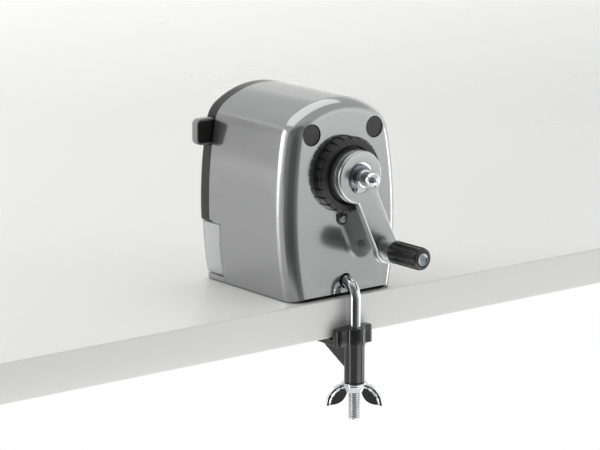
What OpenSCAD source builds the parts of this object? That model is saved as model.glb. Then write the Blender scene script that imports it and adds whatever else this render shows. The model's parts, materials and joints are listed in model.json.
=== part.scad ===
// Hand-crank pencil sharpener with a table clamp.
// The origin is the centre of the casing's footprint, on the table top. +Z is up, the crank is
// at -Y and the pencil goes in at +Y. All sizes are in millimetres.

/* [Casing] */
// Greatest width of the casing
casing_w = 70; // [66:1:84]
// Depth of the metal casing, without the rear carriage
casing_d = 64; // [62:1:77]
// Height of the crown above the table
casing_h = 97; // [95:1:117]
// Wall of the casing
wall = 2.3; // [1.8:0.1:2.8]
// Height at which the casing is widest
waist_z = 40; // [34:1:48]
// Radius of the casing's swelling sides
side_r = 208; // [180:1:260]
// Radius of the crown
crown_r = 45; // [42:1:50]
// Radius of the shoulders
shoulder_r = 14; // [12:1:16]
// Backward lean of the front face, in degrees
lean = 1.5; // [0.5:0.1:1.8]
// How far the front edge is rounded sideways
edge_in = 7; // [5:0.5:8]
// How far the front edge is rounded front to back
edge_back = 9; // [7:0.5:11]

/* [Base] */
// Thickness of the soft base pad
pad_t = 0.6; // [0.4:0.1:1.6]
// Inset of the base pad from the casing's edge
pad_inset = 1.6; // [1:0.1:3]
// Thickness of the base plate
base_t = 2.5; // [2:0.1:3]

/* [Crank drive] */
// Height of the crank axis
crank_z = 60.3; // [59:0.1:63]
// Radius of the drive shaft
shaft_r = 4.4; // [4:0.1:4.7]
// Radius of the shaft's round nose
nose_r = 4; // [3.6:0.1:4.4]
// Distance from the crank axis to the knob axis
crank_len = 41.7; // [34:0.1:43]
// Angle of the arm from straight down, in degrees
arm_angle = 24.8; // [0:0.1:60]
// Radius of the crank's hub
hub_r = 13; // [11:0.1:13.4]
// Thickness of the crank's hub
hub_t = 9.6; // [8:0.1:11]
// Width of the crank arm
arm_w = 13; // [11:0.5:13.5]
// Thickness of the crank arm
arm_t = 5; // [4:0.1:6]
// Length that the shaft's nose stands out of the hub
nose_out = 12.2; // [9:0.1:13]

/* [Knob] */
// Radius of the knob
knob_r = 5.6; // [5:0.1:6.6]
// Length of the knob
knob_len = 20.4; // [18:0.1:26]
// Number of flutes round the knob
knob_flutes = 10; // [8:1:12]
// Radius of the knob's axle
axle_r = 2; // [1.8:0.1:2.4]

/* [Point adjuster] */
// Outer radius of the adjuster ring
ring_r = 18.7; // [17.8:0.1:19.5]
// Thickness of the adjuster ring
ring_t = 5.1; // [4.5:0.1:5.4]
// Number of ribs round the adjuster ring
ring_ribs = 24; // [18:1:30]
// How far the adjuster moves the shaft
depth_travel = 1.5; // [0.8:0.1:1.7]

/* [Cutter head] */
// Module of the cutter's gears
gear_module = 0.8; // [0.8:0.01:0.84]
// Teeth on the fixed ring gear
ring_teeth = 24; // [24]
// Teeth on the cutter's pinion
pinion_teeth = 10; // [10]
// Tilt of the cutter's axis, in degrees
cutter_tilt = 11; // [10.5:0.1:11.5]
// Radius of the cutter
cutter_r = 6.3; // [5.4:0.1:6.4]
// Length of the cutter
cutter_len = 32; // [26:0.5:33]
// Number of helical teeth on the cutter
cutter_teeth = 12; // [10:1:16]
// Radius of the cutter's pin
pin_r = 2; // [1.6:0.1:2]

/* [Pencil feed] */
// Depth of the rear carriage
plate_d = 9; // [9:0.1:10]
// Radius of the pencil opening
pencil_r = 6.25; // [5.5:0.05:6.3]
// How far the carriage pulls out
feed_travel = 32; // [20:1:32]
// How far each finger pad presses in
pad_travel = 4.2; // [3:0.1:4.2]
// Half distance between the guide rods
rod_x = 19.2; // [18.9:0.1:20]
// Height of the guide rods
rod_z = 81; // [80:0.1:81.5]
// Height of the middle of the finger pads
pads_z = 75.5; // [75:0.1:76]

/* [Shavings drawer] */
// Height of the drawer's top edge
drawer_z = 30.1; // [26:0.1:33]
// Wall of the drawer
drawer_wall = 1.8; // [1.4:0.1:2.4]

/* [Table clamp] */
// Thickness of the table that the clamp is set to
table_t = 19; // [15:1:22]
// Radius of the clamp rod
clamp_r = 3; // [2.5:0.1:3.2]
// Height of the clamp rod's socket
socket_z = 7.7; // [7.5:0.1:8.2]
// Distance of the hanging rod in front of the casing
rod_front = 7.2; // [7:0.1:10]
// Length of the bracket's sleeve
sleeve_len = 27.5; // [24:0.5:30]
// Radius of the bracket's sleeve
sleeve_r = 4.95; // [4.6:0.05:5.6]
// Width of the bracket
bracket_w = 22; // [20:0.1:28]
// How far the jaw reaches under the table
jaw_reach = 30; // [22:0.5:36]
// Span of the wing nut
wing_span = 27.5; // [22:0.5:30]

/* [Hidden] */

$fn = 48;
run = 0.05;        // radial clearance of a running fit
gap = 0.4;         // clearance between pieces that move past each other
eps = 0.01;

silver = "#9b9c9c";
black = "#2b2b2a";
steel = "#c9cccf";
brass = "#b08d4f";

// Places along Y
front_y = -(casing_d + plate_d) / 2;
rear_y = front_y + casing_d;
back_y = rear_y + plate_d;
seat_y = front_y + crank_z * tan(lean) - 0.4;
cavity_y = front_y + casing_h * tan(lean) + wall;

// Adjuster and crank
web_t = 2;
ring_back = seat_y - 0.1;
ring_front = ring_back - ring_t;
web_front = ring_back - web_t;
sleeve_or = shaft_r + 2.5;
hub_back = web_front - 0.8;
hub_front = hub_back - hub_t;
disc_y = cavity_y + depth_travel + gap;
disc_t = 2.4;
knob_x = crank_len * sin(arm_angle);
knob_z = crank_z - crank_len * cos(arm_angle);
boss_t = 4.8;
boss_r = axle_r + 2.2;
knob_back = hub_front - boss_t - gap;
index_drop = 3.2;
index_z = crank_z - ring_r - index_drop;

// Cutter head
ring_pitch_r = gear_module * ring_teeth / 2;
pinion_pitch_r = gear_module * pinion_teeth / 2;
gear_offset = ring_pitch_r - pinion_pitch_r;
tip_r = ring_pitch_r - 0.7;
root_r = ring_pitch_r + 1.5;
gear_len = 7;
pinion_len = 3;
gear_y = disc_y + disc_t + 0.3 + pinion_len / 2 + pinion_pitch_r * 0.25 + 0.1;
cutter_start = 4;
cutter_end = cutter_start + cutter_len;
flange_y = cavity_y + gear_len + depth_travel + gap;
flange_t = 2.4;
carrier_ring_y = gear_y + cutter_end * cos(cutter_tilt) + cutter_r * sin(cutter_tilt) + gap;
carrier_ring_t = 4.5;
carrier_r = 21;
carrier_hub_r = 9.5;
bar_r = 2;
bar_at = 17;
bulkhead_y = carrier_ring_y + carrier_ring_t + 1.7;
bulkhead_t = 2.4;

// Guides and carriage
tube_or = 4.5;
tube_ir = 3.6;
guide_r = 2.2;
collar_len = 5;
plug_r = 5.3;
cover_y = rear_y + 0.3;
cover_t = 1.5;
plate_y = cover_y;
slide_t = 1.8;
layer_a = cover_y + cover_t + 0.3;
layer_b = layer_a + slide_t + gap;
hollow_end = layer_b + slide_t + 0.5;
rack_module = 0.6;
centring_teeth = 8;
rack_r = rack_module * centring_teeth / 2;
pad_h = 13;
pad_y = layer_a - 1;
pad_d = hollow_end - pad_y - gap;
pad_len = 7.5;
pad_root = half_width(pads_z) + 1.4;
stem_in = 3.4;
jaw_gap = 1.75;
jaw_w = 4.4;
jaw_h = 10;
leg_x = 10.4;
leg_w = 2.6;
spring_x = 13.4;
spring_z = pads_z + 10.5;
post_r = 1;

// Drawer
notch_y = rear_y - 7.4;
notch_lean = 3.3;
drawer_front = cavity_y + 19.7;
drawer_back = back_y - 0.8;
// Radius of the drawer's and the base plate's rear corners
lip_r = 3.5;
floor_z = pad_t + base_t;

// Clamp
bend_r = rod_front - 0.2;
socket_or = 4.2;
socket_len = 17.7;
thread_end = -(table_t + sleeve_len + 13.8);
sleeve_top = -table_t + 5;
sleeve_low = sleeve_top - sleeve_len;
block_back = front_y - 2.4;
rod_axis_y = front_y - bend_r;
jaw_end = block_back - 3 + jaw_reach - 6;
washer_t = 0.8;
nut_top = sleeve_low - washer_t;
nut_h = 4.2;
wing_drop = 10.7;
wing_turn = -38;
bracket_clear = 0.2;

// ---------- shared shapes ----------

// Half width of the casing at height z on its swelling side
function half_width(z) = casing_w / 2 - side_r + sqrt(side_r * side_r - (z - waist_z) * (z - waist_z));

// Where two circles meet, on the right-hand side
function meet(ax, az, ar, bx, bz, br) =
    let (dx = bx - ax, dz = bz - az, d = sqrt(dx * dx + dz * dz),
         a = (ar * ar - br * br + d * d) / (2 * d), h = sqrt(ar * ar - a * a))
    [ax + a * dx / d - h * dz / d, az + a * dz / d + h * dx / d];

// Points of an arc from angle a to angle b
function arc(cx, cz, r, a, b, n) =
    [for (i = [0:n]) [cx + r * cos(a + (b - a) * i / n), cz + r * sin(a + (b - a) * i / n)]];

crown_z = casing_h - crown_r;
side_x = casing_w / 2 - side_r;
shoulder = let (p = meet(side_x, waist_z, side_r - shoulder_r, 0, crown_z, crown_r - shoulder_r))
    (p[0] > 0 && p[1] > crown_z) ? p
    : meet(0, crown_z, crown_r - shoulder_r, side_x, waist_z, side_r - shoulder_r);
top_angle = atan2(shoulder[1] - crown_z, shoulder[0]);
side_angle = atan2(shoulder[1] - waist_z, shoulder[0] - side_x);
foot_angle = asin(-waist_z / side_r);

// Right half of the casing's outline, drawn inward by d, from the foot to the crown
function half_outline(d) = concat(
    arc(side_x, waist_z, side_r - d, foot_angle, side_angle, 10),
    arc(shoulder[0], shoulder[1], shoulder_r - d, side_angle, top_angle, 8),
    arc(0, crown_z, crown_r - d, top_angle, 90, 8));

// Whole outline in the XZ plane
function outline(d) = let (half = half_outline(d), n = len(half))
    concat(half, [for (i = [n - 2:-1:0]) [-half[i][0], half[i][1]]]);

// A slab of the outline, from y0 to y1
module outline_slab(y0, y1, d) {
    translate([0, y1, 0]) rotate([90, 0, 0]) linear_extrude(y1 - y0) polygon(outline(d));
}

// Inset of the rounded front edge at depth t behind the front face
function edge_inset(t) = edge_in * (1 - sqrt(max(0, 1 - pow(1 - t / edge_back, 2))));

// The casing as one solid body, drawn inward by d, with its front at y0 leaning back by tilt degrees
module casing_body(d, y0, y1, tilt) {
    hull() {
        for (t = [0, 0.06, 0.2, 0.42, 0.7, 1])
            translate([0, y0, 0]) rotate([-tilt, 0, 0])
                outline_slab(t * edge_back, t * edge_back + eps, d + edge_inset(t * edge_back));
        outline_slab(y1 - eps, y1, d);
    }
}

// Places its children on the leaning front face, with their Z pointing out of it
module on_front(x, z) {
    translate([x, front_y + z * tan(lean), z]) rotate([90 - lean, 0, 0]) children();
}

// A round bar along Y, from y0 to y1
module bar_y(x, z, y0, y1, r) {
    translate([x, y0, z]) rotate([-90, 0, 0]) cylinder(r = r, h = y1 - y0);
}

// Places its children on the cutter's tilted axis, with their Z along it
module on_cutter_axis() {
    translate([0, gear_y, crank_z + gear_offset]) rotate([-90 + cutter_tilt, 0, 0]) children();
}

// A gear's outline: teeth that narrow from half angle a_root at r_root to a_tip at r_tip
module gear_2d(teeth, r_root, r_tip, a_root, a_tip) {
    polygon([for (i = [0:teeth - 1]) let (m = 360 * i / teeth)
        for (q = [[r_root, -a_root], [r_tip, -a_tip], [r_tip, a_tip], [r_root, a_root]])
            [q[0] * cos(m + q[1]), q[0] * sin(m + q[1])]]);
}

// A slotted pan-head screw: the head stands on z = 0 and the shank goes down
module screw(head_r, head_h, shank_r, shank_len) {
    difference() {
        union() {
            cylinder(r1 = head_r, r2 = head_r * 0.8, h = head_h);
            translate([0, 0, -shank_len]) cylinder(r = shank_r, h = shank_len);
        }
        translate([-head_r, -head_r * 0.14, head_h * 0.5]) cube([2 * head_r, head_r * 0.28, head_h]);
    }
}

// A coil spring along Z: a round wire swept along a helix
module coil(r, wire_r, length, turns) {
    steps = 12;
    sides = 6;
    rings = turns * steps;
    points = [for (i = [0:rings]) let (t = 360 * i / steps, z = wire_r + (length - 2 * wire_r) * i / rings)
        for (k = [0:sides - 1]) let (q = 360 * k / sides)
            [(r + wire_r * cos(q)) * cos(t), (r + wire_r * cos(q)) * sin(t), z + wire_r * sin(q)]];
    walls = [for (i = [0:rings - 1]) for (k = [0:sides - 1]) let (n = (k + 1) % sides)
        for (f = [[i * sides + k, i * sides + n, (i + 1) * sides + n],
                  [i * sides + k, (i + 1) * sides + n, (i + 1) * sides + k]]) f];
    low = [for (k = [sides - 1:-1:0]) k];
    high = [for (k = [0:sides - 1]) rings * sides + k];
    polyhedron(points, concat(walls, [low], [high]));
}

// ---------- casing and fixed frame ----------

module casing_shell() {
    color(silver) difference() {
        union() {
            intersection() {
                casing_body(0, front_y, rear_y, lean);
                translate([-casing_w, front_y - 1, pad_t]) cube([2 * casing_w, casing_d + 2, casing_h]);
            }
            bar_y(0, crank_z, seat_y, cavity_y - 0.5, sleeve_or + 8);
        }
        translate([0, 0, -wall]) casing_body(wall, cavity_y, rear_y + wall, 0);
        casing_body(wall, cavity_y, rear_y + wall, 0);
        intersection() {
            behind_notch(0);
            translate([-casing_w, 0, -1]) cube([2 * casing_w, casing_d, drawer_z + 1.3]);
        }
        bar_y(0, crank_z, seat_y - 1, cavity_y + 1, sleeve_or + 2);
        bar_y(0, socket_z, front_y - 1, cavity_y + 1, clamp_r + 0.75);
        for (x = [-rod_x, rod_x]) on_front(x, rod_z) translate([0, 0, -8]) cylinder(r = plug_r, h = 9);
        on_front(-2, index_z) translate([0, 0, -8]) cylinder(r = 1, h = 9);
    }
}

// Everything behind the casing's slanting rear edge beside the drawer, set back by d
module behind_notch(d) {
    translate([-casing_w, notch_y + d, 0]) rotate([notch_lean, 0, 0]) translate([0, 0, -20])
        cube([2 * casing_w, casing_d, drawer_z + 60]);
}

module base_plate() {
    w = half_width(pad_t);
    inner = w - wall - 0.1;
    lip_y = notch_y + gap;
    color(silver) translate([0, 0, pad_t]) linear_extrude(base_t) {
        translate([-inner, cavity_y + 4]) square([2 * inner, lip_y - cavity_y - 4]);
        translate([-inner + 8, cavity_y + 0.2]) square([2 * inner - 16, 10]);
        translate([-w, lip_y]) square([2 * w, drawer_back + 0.4 - lip_r - lip_y]);
        translate([-w + lip_r, lip_y]) square([2 * (w - lip_r), drawer_back - lip_y + 0.4]);
        for (x = [-w + lip_r, w - lip_r]) translate([x, drawer_back + 0.4 - lip_r]) circle(r = lip_r);
    }
}

module base_pad() {
    w = half_width(0) - pad_inset;
    r = 8;
    color(black) linear_extrude(pad_t) {
        y0 = front_y + pad_inset;
        y1 = drawer_back - 1;
        translate([-w, y0 + r]) square([2 * w, y1 - y0 - 2 * r]);
        translate([-w + r, y0]) square([2 * (w - r), y1 - y0]);
        for (x = [-w + r, w - r]) for (y = [y0 + r, y1 - r])
            translate([x, y]) circle(r = r);
    }
}

module guide_plug(x) {
    color(black) on_front(x, rod_z) translate([0, 0, -1.8]) cylinder(r = plug_r, h = 1.6);
}

module guide_plug_left() { guide_plug(-rod_x); }

module guide_plug_right() { guide_plug(rod_x); }

module index_plate() {
    color(black) on_front(-2, index_z) difference() {
        union() {
            cylinder(r = 3, h = 0.9);
            translate([-3, 0, 0]) cube([6, index_drop - gap, 0.9]);
        }
        translate([0, 0, -1]) cylinder(r = 1, h = 3);
    }
}

module index_screw() {
    color(steel) on_front(-2, index_z) translate([0, 0, 0.9]) screw(1.9, 0.9, 1, 2.9);
}

module shaft_bush() {
    color(brass) difference() {
        bar_y(0, crank_z, seat_y, cavity_y, sleeve_or + 2);
        bar_y(0, crank_z, seat_y - 1, cavity_y + 1, sleeve_or + run);
    }
}

module ring_gear() {
    color(steel) translate([0, cavity_y, crank_z]) rotate([-90, 0, 0]) difference() {
        union() {
            cylinder(r = root_r + 3, h = gear_len);
            cylinder(r = root_r + 7, h = 2);
        }
        translate([0, 0, -1]) linear_extrude(gear_len + 2) difference() {
            circle(r = root_r);
            for (i = [0:ring_teeth - 1]) rotate(360 * i / ring_teeth)
                polygon([[root_r + 1, -0.75], [tip_r, -0.26], [tip_r, 0.26], [root_r + 1, 0.75]]);
        }
        for (a = [90, 210, 330]) rotate(a) translate([root_r + 5, 0, -1]) cylinder(r = 1.1, h = 4);
    }
}

module gear_screws() {
    color(steel) for (a = [90, 210, 330])
        translate([0, cavity_y + 2, crank_z]) rotate([-90, 0, 0]) rotate(a)
            translate([root_r + 5, 0, 0]) screw(1.9, 1.2, 1.1, 2);
}

stay_z = 42;
stay_r = 2.8;
stay_x = half_width(stay_z) - wall - edge_in - stay_r - 0.9;

module rear_bulkhead() {
    color(steel) difference() {
        intersection() {
            outline_slab(bulkhead_y, bulkhead_y + bulkhead_t, wall + 0.1);
            translate([-casing_w, 0, drawer_z + 1.6]) cube([2 * casing_w, casing_d, casing_h]);
        }
        bar_y(0, crank_z, bulkhead_y - 1, bulkhead_y + bulkhead_t + 1, carrier_hub_r + run);
        for (x = [-rod_x, rod_x])
            bar_y(x, rod_z, bulkhead_y - 1, bulkhead_y + bulkhead_t + 1, tube_or);
        for (x = [-stay_x, stay_x])
            bar_y(x, stay_z, bulkhead_y - 1, bulkhead_y + bulkhead_t + 1, 1.5);
    }
}

module frame_posts() {
    color(silver) for (x = [-stay_x, stay_x]) difference() {
        bar_y(x, stay_z, cavity_y, bulkhead_y, stay_r);
        bar_y(x, stay_z, bulkhead_y - 8, bulkhead_y + 1, 1.5);
    }
}

module frame_screws() {
    color(steel) for (x = [-stay_x, stay_x])
        translate([x, bulkhead_y + bulkhead_t, stay_z]) rotate([-90, 0, 0])
            screw(2.8, 1.6, 1.5, bulkhead_t + 7);
}

module guide_tube(x) {
    tube_end = bulkhead_y + bulkhead_t;
    color(steel) difference() {
        bar_y(x, rod_z, cavity_y, tube_end, tube_or);
        bar_y(x, rod_z, cavity_y - 1, tube_end - collar_len, tube_ir);
        bar_y(x, rod_z, cavity_y, tube_end + 1, guide_r + run);
    }
}

module guide_tube_left() { guide_tube(-rod_x); }

module guide_tube_right() { guide_tube(rod_x); }

module clamp_socket() {
    color(silver) difference() {
        bar_y(0, socket_z, cavity_y, cavity_y + socket_len, socket_or);
        bar_y(0, socket_z, cavity_y - 1, cavity_y + socket_len - 1.5, clamp_r + run);
    }
}

// ---------- point adjuster ----------

module bearing_sleeve() {
    color(steel) difference() {
        bar_y(0, crank_z, hub_back + 0.2, disc_y - 0.2, sleeve_or);
        bar_y(0, crank_z, hub_back - 1, disc_y + 1, shaft_r + run);
    }
}

module adjuster_ring() {
    color(black) translate([0, ring_back, crank_z]) rotate([90, 0, 0]) difference() {
        union() {
            cylinder(r = ring_r, h = ring_t - 1.2);
            translate([0, 0, ring_t - 1.2]) cylinder(r1 = ring_r, r2 = ring_r - 1.2, h = 1.2);
        }
        translate([0, 0, -1]) cylinder(r = sleeve_or + gap, h = ring_t + 2);
        translate([0, 0, web_t]) cylinder(r = hub_r + 1.2, h = ring_t);
        for (i = [0:ring_ribs - 1]) rotate(360 * i / ring_ribs)
            translate([ring_r - 1, -0.7, -1]) cube([3, 1.4, ring_t + 2]);
    }
}

// ---------- crank, shaft and cutter ----------

module drive_shaft() {
    nose_tip = hub_front - nose_out;
    color(steel) {
        bar_y(0, crank_z, hub_front - 3.4, disc_y, shaft_r);
        bar_y(0, crank_z, nose_tip + nose_r, hub_front - 3.4, shaft_r - 0.7);
        translate([0, nose_tip + nose_r, crank_z]) sphere(r = nose_r);
    }
}

// The room for the cutter and its pinion, and the bore of their pin
module cutter_room() {
    on_cutter_axis() translate([0, 0, -pinion_len / 2 - 0.1])
        cylinder(r = cutter_r + 0.6, h = cutter_end + pinion_len / 2 + 0.3);
    on_cutter_axis() translate([0, 0, -6]) cylinder(r = pin_r, h = cutter_end + 30);
}

// The three bars that join the carrier's hub to its ring, from y0 to y1
module three_bars(y0, y1) {
    for (a = [180, 270, 0]) bar_y(bar_at * cos(a), crank_z + bar_at * sin(a), y0, y1, bar_r);
}

module carrier_hub() {
    color(steel) difference() {
        union() {
            bar_y(0, crank_z, disc_y, disc_y + disc_t, tip_r - 0.5);
            intersection() {
                bar_y(0, crank_z, disc_y + disc_t / 2, flange_y + flange_t / 2, tip_r - 0.8);
                translate([-casing_w, disc_y, crank_z - tip_r]) cube([2 * casing_w, casing_d, tip_r - 1.6]);
            }
            bar_y(0, crank_z, flange_y, flange_y + flange_t, bar_at + bar_r + 0.8);
        }
        cutter_room();
        three_bars(flange_y - 1, flange_y + flange_t + 1);
    }
}

module carrier_bars() {
    color(steel) three_bars(flange_y, carrier_ring_y + carrier_ring_t);
}

module carrier_ring() {
    color(steel) difference() {
        union() {
            bar_y(0, crank_z, carrier_ring_y, carrier_ring_y + carrier_ring_t, carrier_r);
            bar_y(0, crank_z, carrier_ring_y, bulkhead_y + bulkhead_t + 0.6, carrier_hub_r);
        }
        bar_y(0, crank_z, carrier_ring_y - 1, bulkhead_y + bulkhead_t + 2, pencil_r);
        cutter_room();
        three_bars(carrier_ring_y - 1, carrier_ring_y + carrier_ring_t + 1);
    }
}

pin_start = (disc_y + 0.4 - gear_y) / cos(cutter_tilt);
pin_end = (carrier_ring_y + carrier_ring_t - 0.6 - gear_y) / cos(cutter_tilt);

module cutter_pin() {
    color(steel) on_cutter_axis() translate([0, 0, pin_start]) cylinder(r = pin_r, h = pin_end - pin_start);
}

module crank_arm() {
    color(silver) translate([0, hub_front, crank_z]) rotate([-90, 0, 0]) difference() {
        union() {
            cylinder(r1 = hub_r - 0.8, r2 = hub_r, h = 0.8);
            translate([0, 0, 0.8]) cylinder(r = hub_r, h = hub_t - 0.8);
            linear_extrude(arm_t) rotate(90 - arm_angle)
                translate([shaft_r + 2, -arm_w / 2]) square([crank_len - shaft_r - 5, arm_w]);
            rotate(90 - arm_angle) translate([crank_len, 0, 0]) cylinder(r = arm_w / 2 + 0.5, h = arm_t);
            rotate(90 - arm_angle) translate([crank_len, 0, -boss_t]) cylinder(r = boss_r, h = boss_t + 1);
        }
        translate([0, 0, -1]) cylinder(r = shaft_r, h = hub_t + 2);
        rotate(90 - arm_angle) translate([crank_len, 0, -boss_t - 1]) cylinder(r = axle_r, h = boss_t + arm_t + 2);
    }
}

module shaft_circlip() {
    color(steel) translate([0, hub_front, crank_z]) rotate([90, 0, 0]) difference() {
        union() {
            linear_extrude(0.7) difference() {
                circle(r = 6.6);
                circle(r = shaft_r);
                rotate(-55) translate([0, -2.4]) square([10, 4.8]);
            }
            for (a = [-20, -112]) rotate(a) translate([6.3, 0, 0]) cylinder(r = 1.5, h = 0.7);
        }
        for (a = [-20, -112]) rotate(a) translate([6.3, 0, -1]) cylinder(r = 0.6, h = 3);
    }
}

module knob_axle() {
    color(steel) {
        bar_y(knob_x, knob_z, knob_back - knob_len + 0.8, hub_front + arm_t, axle_r);
        bar_y(knob_x, knob_z, knob_back - knob_len - 0.2, knob_back - knob_len + 0.8, axle_r + 1.3);
    }
}

module helical_cutter() {
    depth = 0.9;
    color("#8d9194") on_cutter_axis() difference() {
        union() {
            translate([0, 0, pinion_len / 2])
                cylinder(r = pin_r + 0.8, h = cutter_start - pinion_len / 2 + 0.5);
            translate([0, 0, cutter_start]) linear_extrude(cutter_len, twist = -150, slices = 24)
                gear_2d(cutter_teeth, cutter_r - depth, cutter_r, 9, 2.5);
        }
        translate([0, 0, -1]) cylinder(r = pin_r + run, h = cutter_end + 2);
    }
}

module cutter_pinion() {
    color(brass) on_cutter_axis() translate([0, 0, -pinion_len / 2]) difference() {
        linear_extrude(pinion_len) gear_2d(pinion_teeth, pinion_pitch_r - 1, pinion_pitch_r + 0.7, 11, 3);
        translate([0, 0, -1]) cylinder(r = pin_r + run, h = pinion_len + 2);
    }
}

module crank_knob() {
    color(black) translate([knob_x, knob_back, knob_z]) rotate([90, 0, 0]) difference() {
        union() {
            cylinder(r = knob_r + 0.3, h = 1.2);
            linear_extrude(knob_len) difference() {
                circle(r = knob_r);
                for (i = [0:knob_flutes - 1]) rotate(360 * (i + 0.5) / knob_flutes)
                    translate([knob_r + 0.5, 0]) circle(r = 1.1);
            }
        }
        translate([0, 0, -1]) cylinder(r = axle_r + run, h = knob_len + 2);
        translate([0, 0, knob_len - 1.2]) cylinder(r = axle_r + 1.3 + 0.3, h = 3);
    }
}

// ---------- pencil feed carriage ----------

module carriage_plate() {
    plate_r = 3;
    tab_top = pads_z + pad_h / 2 + gap;
    color(black) difference() {
        intersection() {
            union() {
                outline_slab(plate_y, back_y - plate_r, 0);
                hull() for (a = [0, 30, 60, 90])
                    outline_slab(back_y - plate_r - eps, back_y - plate_r * (1 - sin(a)),
                                 plate_r * (1 - cos(a)));
            }
            translate([-casing_w, 0, drawer_z + 0.3]) cube([2 * casing_w, casing_d, casing_h]);
        }
        intersection() {
            outline_slab(plate_y - 1, hollow_end, 2);
            translate([-casing_w, 0, drawer_z + 2.3]) cube([2 * casing_w, casing_d, casing_h]);
        }
        translate([-casing_w, plate_y - 1, tab_top - pad_h - 2 * gap])
            cube([2 * casing_w, hollow_end - plate_y + 1, pad_h + 2 * gap]);
        bar_y(0, crank_z, hollow_end - 1, back_y + 1, pencil_r + 2.5);
    }
}

cover_screw_z = [drawer_z + 7, spring_z + 4.3];

module cover_holes(r) {
    for (z = cover_screw_z) translate([0, 0, z]) bar_y(0, 0, cover_y - 1, hollow_end + 1, r);
}

module jaw_cover() {
    slot_x = half_width(pads_z) - stem_in - pad_travel - gap;
    color("#4a4b4c") difference() {
        intersection() {
            outline_slab(cover_y, cover_y + cover_t, 2.1);
            translate([-casing_w, 0, drawer_z + 2.4]) cube([2 * casing_w, casing_d, casing_h]);
        }
        bar_y(0, crank_z, cover_y - 1, cover_y + cover_t + 1, pencil_r + 0.5);
        for (x = [-rod_x, rod_x]) bar_y(x, rod_z, cover_y - 1, cover_y + cover_t + 1, 1.5);
        for (x = [slot_x, -slot_x - casing_w]) translate([x, cover_y - 1, pads_z - pad_h / 2 - gap])
            cube([casing_w, cover_t + 2, pad_h + 2 * gap]);
        cover_holes(1.1);
    }
}

module cover_screws() {
    color(steel) for (z = cover_screw_z)
        translate([0, cover_y, z]) rotate([90, 0, 0]) screw(2, 1.2, 1.1, hollow_end - cover_y);
}

module pencil_guide() {
    color("#3a3a3a") difference() {
        union() {
            bar_y(0, crank_z, hollow_end, back_y + 0.8, pencil_r + 2.5);
            bar_y(0, crank_z, back_y, back_y + 0.8, pencil_r + 4);
        }
        bar_y(0, crank_z, hollow_end - 1, back_y + 2, pencil_r);
    }
}

module centring_post() {
    color(steel) bar_y(0, pads_z, cover_y + cover_t, hollow_end, post_r);
}

guide_head_t = 1.8;
spring_room = 10.5;
guide_front = bulkhead_y + bulkhead_t - collar_len - spring_room - feed_travel - guide_head_t;

module guide_rod(x) {
    color(steel) {
        bar_y(x, rod_z, guide_front, cover_y, guide_r);
        bar_y(x, rod_z, guide_front, guide_front + guide_head_t, tube_ir - 0.3);
        bar_y(x, rod_z, cover_y - 1, cover_y + cover_t, 1.5);
    }
}

module guide_rod_left() { guide_rod(-rod_x); }

module guide_rod_right() { guide_rod(rod_x); }

module feed_spring(x) {
    y0 = guide_front + guide_head_t + 0.1;
    y1 = bulkhead_y + bulkhead_t - collar_len - 0.1;
    color(steel) translate([x, y0, rod_z]) rotate([-90, 0, 0]) coil(guide_r + 0.7, 0.32, y1 - y0, 9);
}

module feed_spring_left() { feed_spring(-rod_x); }

module feed_spring_right() { feed_spring(rod_x); }

// A slider that carries a finger pad on one side of the pencil and a jaw on the other. The left
// slider (side = 1) has its rack below the centring pinion, the right one (side = -1) above it.
module slider(side, y0) {
    rack_z = pads_z - side * rack_r;
    strip_z = rack_z - side * 2.2;
    pitch = PI * rack_module;
    foot_x = jaw_gap + jaw_w;
    color(steel) mirror([side < 0 ? 1 : 0, 0, 0]) translate([0, y0 + slide_t, 0]) rotate([90, 0, 0])
        linear_extrude(slide_t) {
            translate([-pad_root - 1, strip_z - 1.4]) square([pad_root + 1 + leg_x + leg_w, 2.8]);
            for (i = [-5:2]) translate([pitch * (i + 0.5), rack_z]) rotate(side < 0 ? 180 : 0)
                polygon([[-0.62, -0.9], [0.62, -0.9], [0.24, 0.5], [-0.24, 0.5]]);
            translate([leg_x, crank_z - jaw_h / 2]) square([leg_w, strip_z - crank_z + jaw_h / 2]);
            translate([foot_x, crank_z - jaw_h / 2]) square([leg_x + leg_w - foot_x, jaw_h]);
            translate([-spring_x - leg_w, strip_z]) square([leg_w, spring_z + 2 - strip_z]);
        }
}

module left_slider() { slider(1, layer_a); }

module right_slider() { slider(-1, layer_b); }

module jaw(side) {
    x0 = side > 0 ? jaw_gap : -jaw_gap - jaw_w;
    d = layer_b + slide_t - layer_a;
    color("#606468") intersection() {
        translate([x0, layer_a, crank_z - jaw_h / 2]) cube([jaw_w, d, jaw_h]);
        translate([0, layer_a + d, crank_z]) rotate([90, 0, 0]) linear_extrude(d)
            polygon([[side * jaw_gap, -1], [side * 3.4, -jaw_h / 2], [side * 8, -jaw_h / 2],
                     [side * 8, jaw_h / 2], [side * 3.4, jaw_h / 2], [side * jaw_gap, 1]]);
    }
}

module left_jaw() { jaw(1); }

module right_jaw() { jaw(-1); }

// A finger pad: a rounded block outside the carriage with a stem that slides in its side
module finger_pad(side) {
    r = 2;
    outer = pad_root + pad_len;
    stem = pad_root - half_width(pads_z) + stem_in;
    color("#969696") mirror([side > 0 ? 1 : 0, 0, 0]) translate([0, pad_y, 0]) difference() {
        union() {
            translate([-outer, 0, pads_z - pad_h / 2 + r]) cube([pad_len, pad_d, pad_h - 2 * r]);
            translate([-outer + r, 0, pads_z - pad_h / 2]) cube([pad_len + stem - r, pad_d, pad_h]);
            for (z = [-1, 1]) translate([-outer + r, pad_d, pads_z + z * (pad_h / 2 - r)])
                rotate([90, 0, 0]) cylinder(r = r, h = pad_d);
        }
        translate([-pad_root - 1, (side < 0 ? layer_a : layer_b) - pad_y, pads_z - pad_h / 2 - 1])
            cube([stem + 2, slide_t, pad_h + 2]);
    }
}

module left_finger_pad() { finger_pad(-1); }

module right_finger_pad() { finger_pad(1); }

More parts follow.
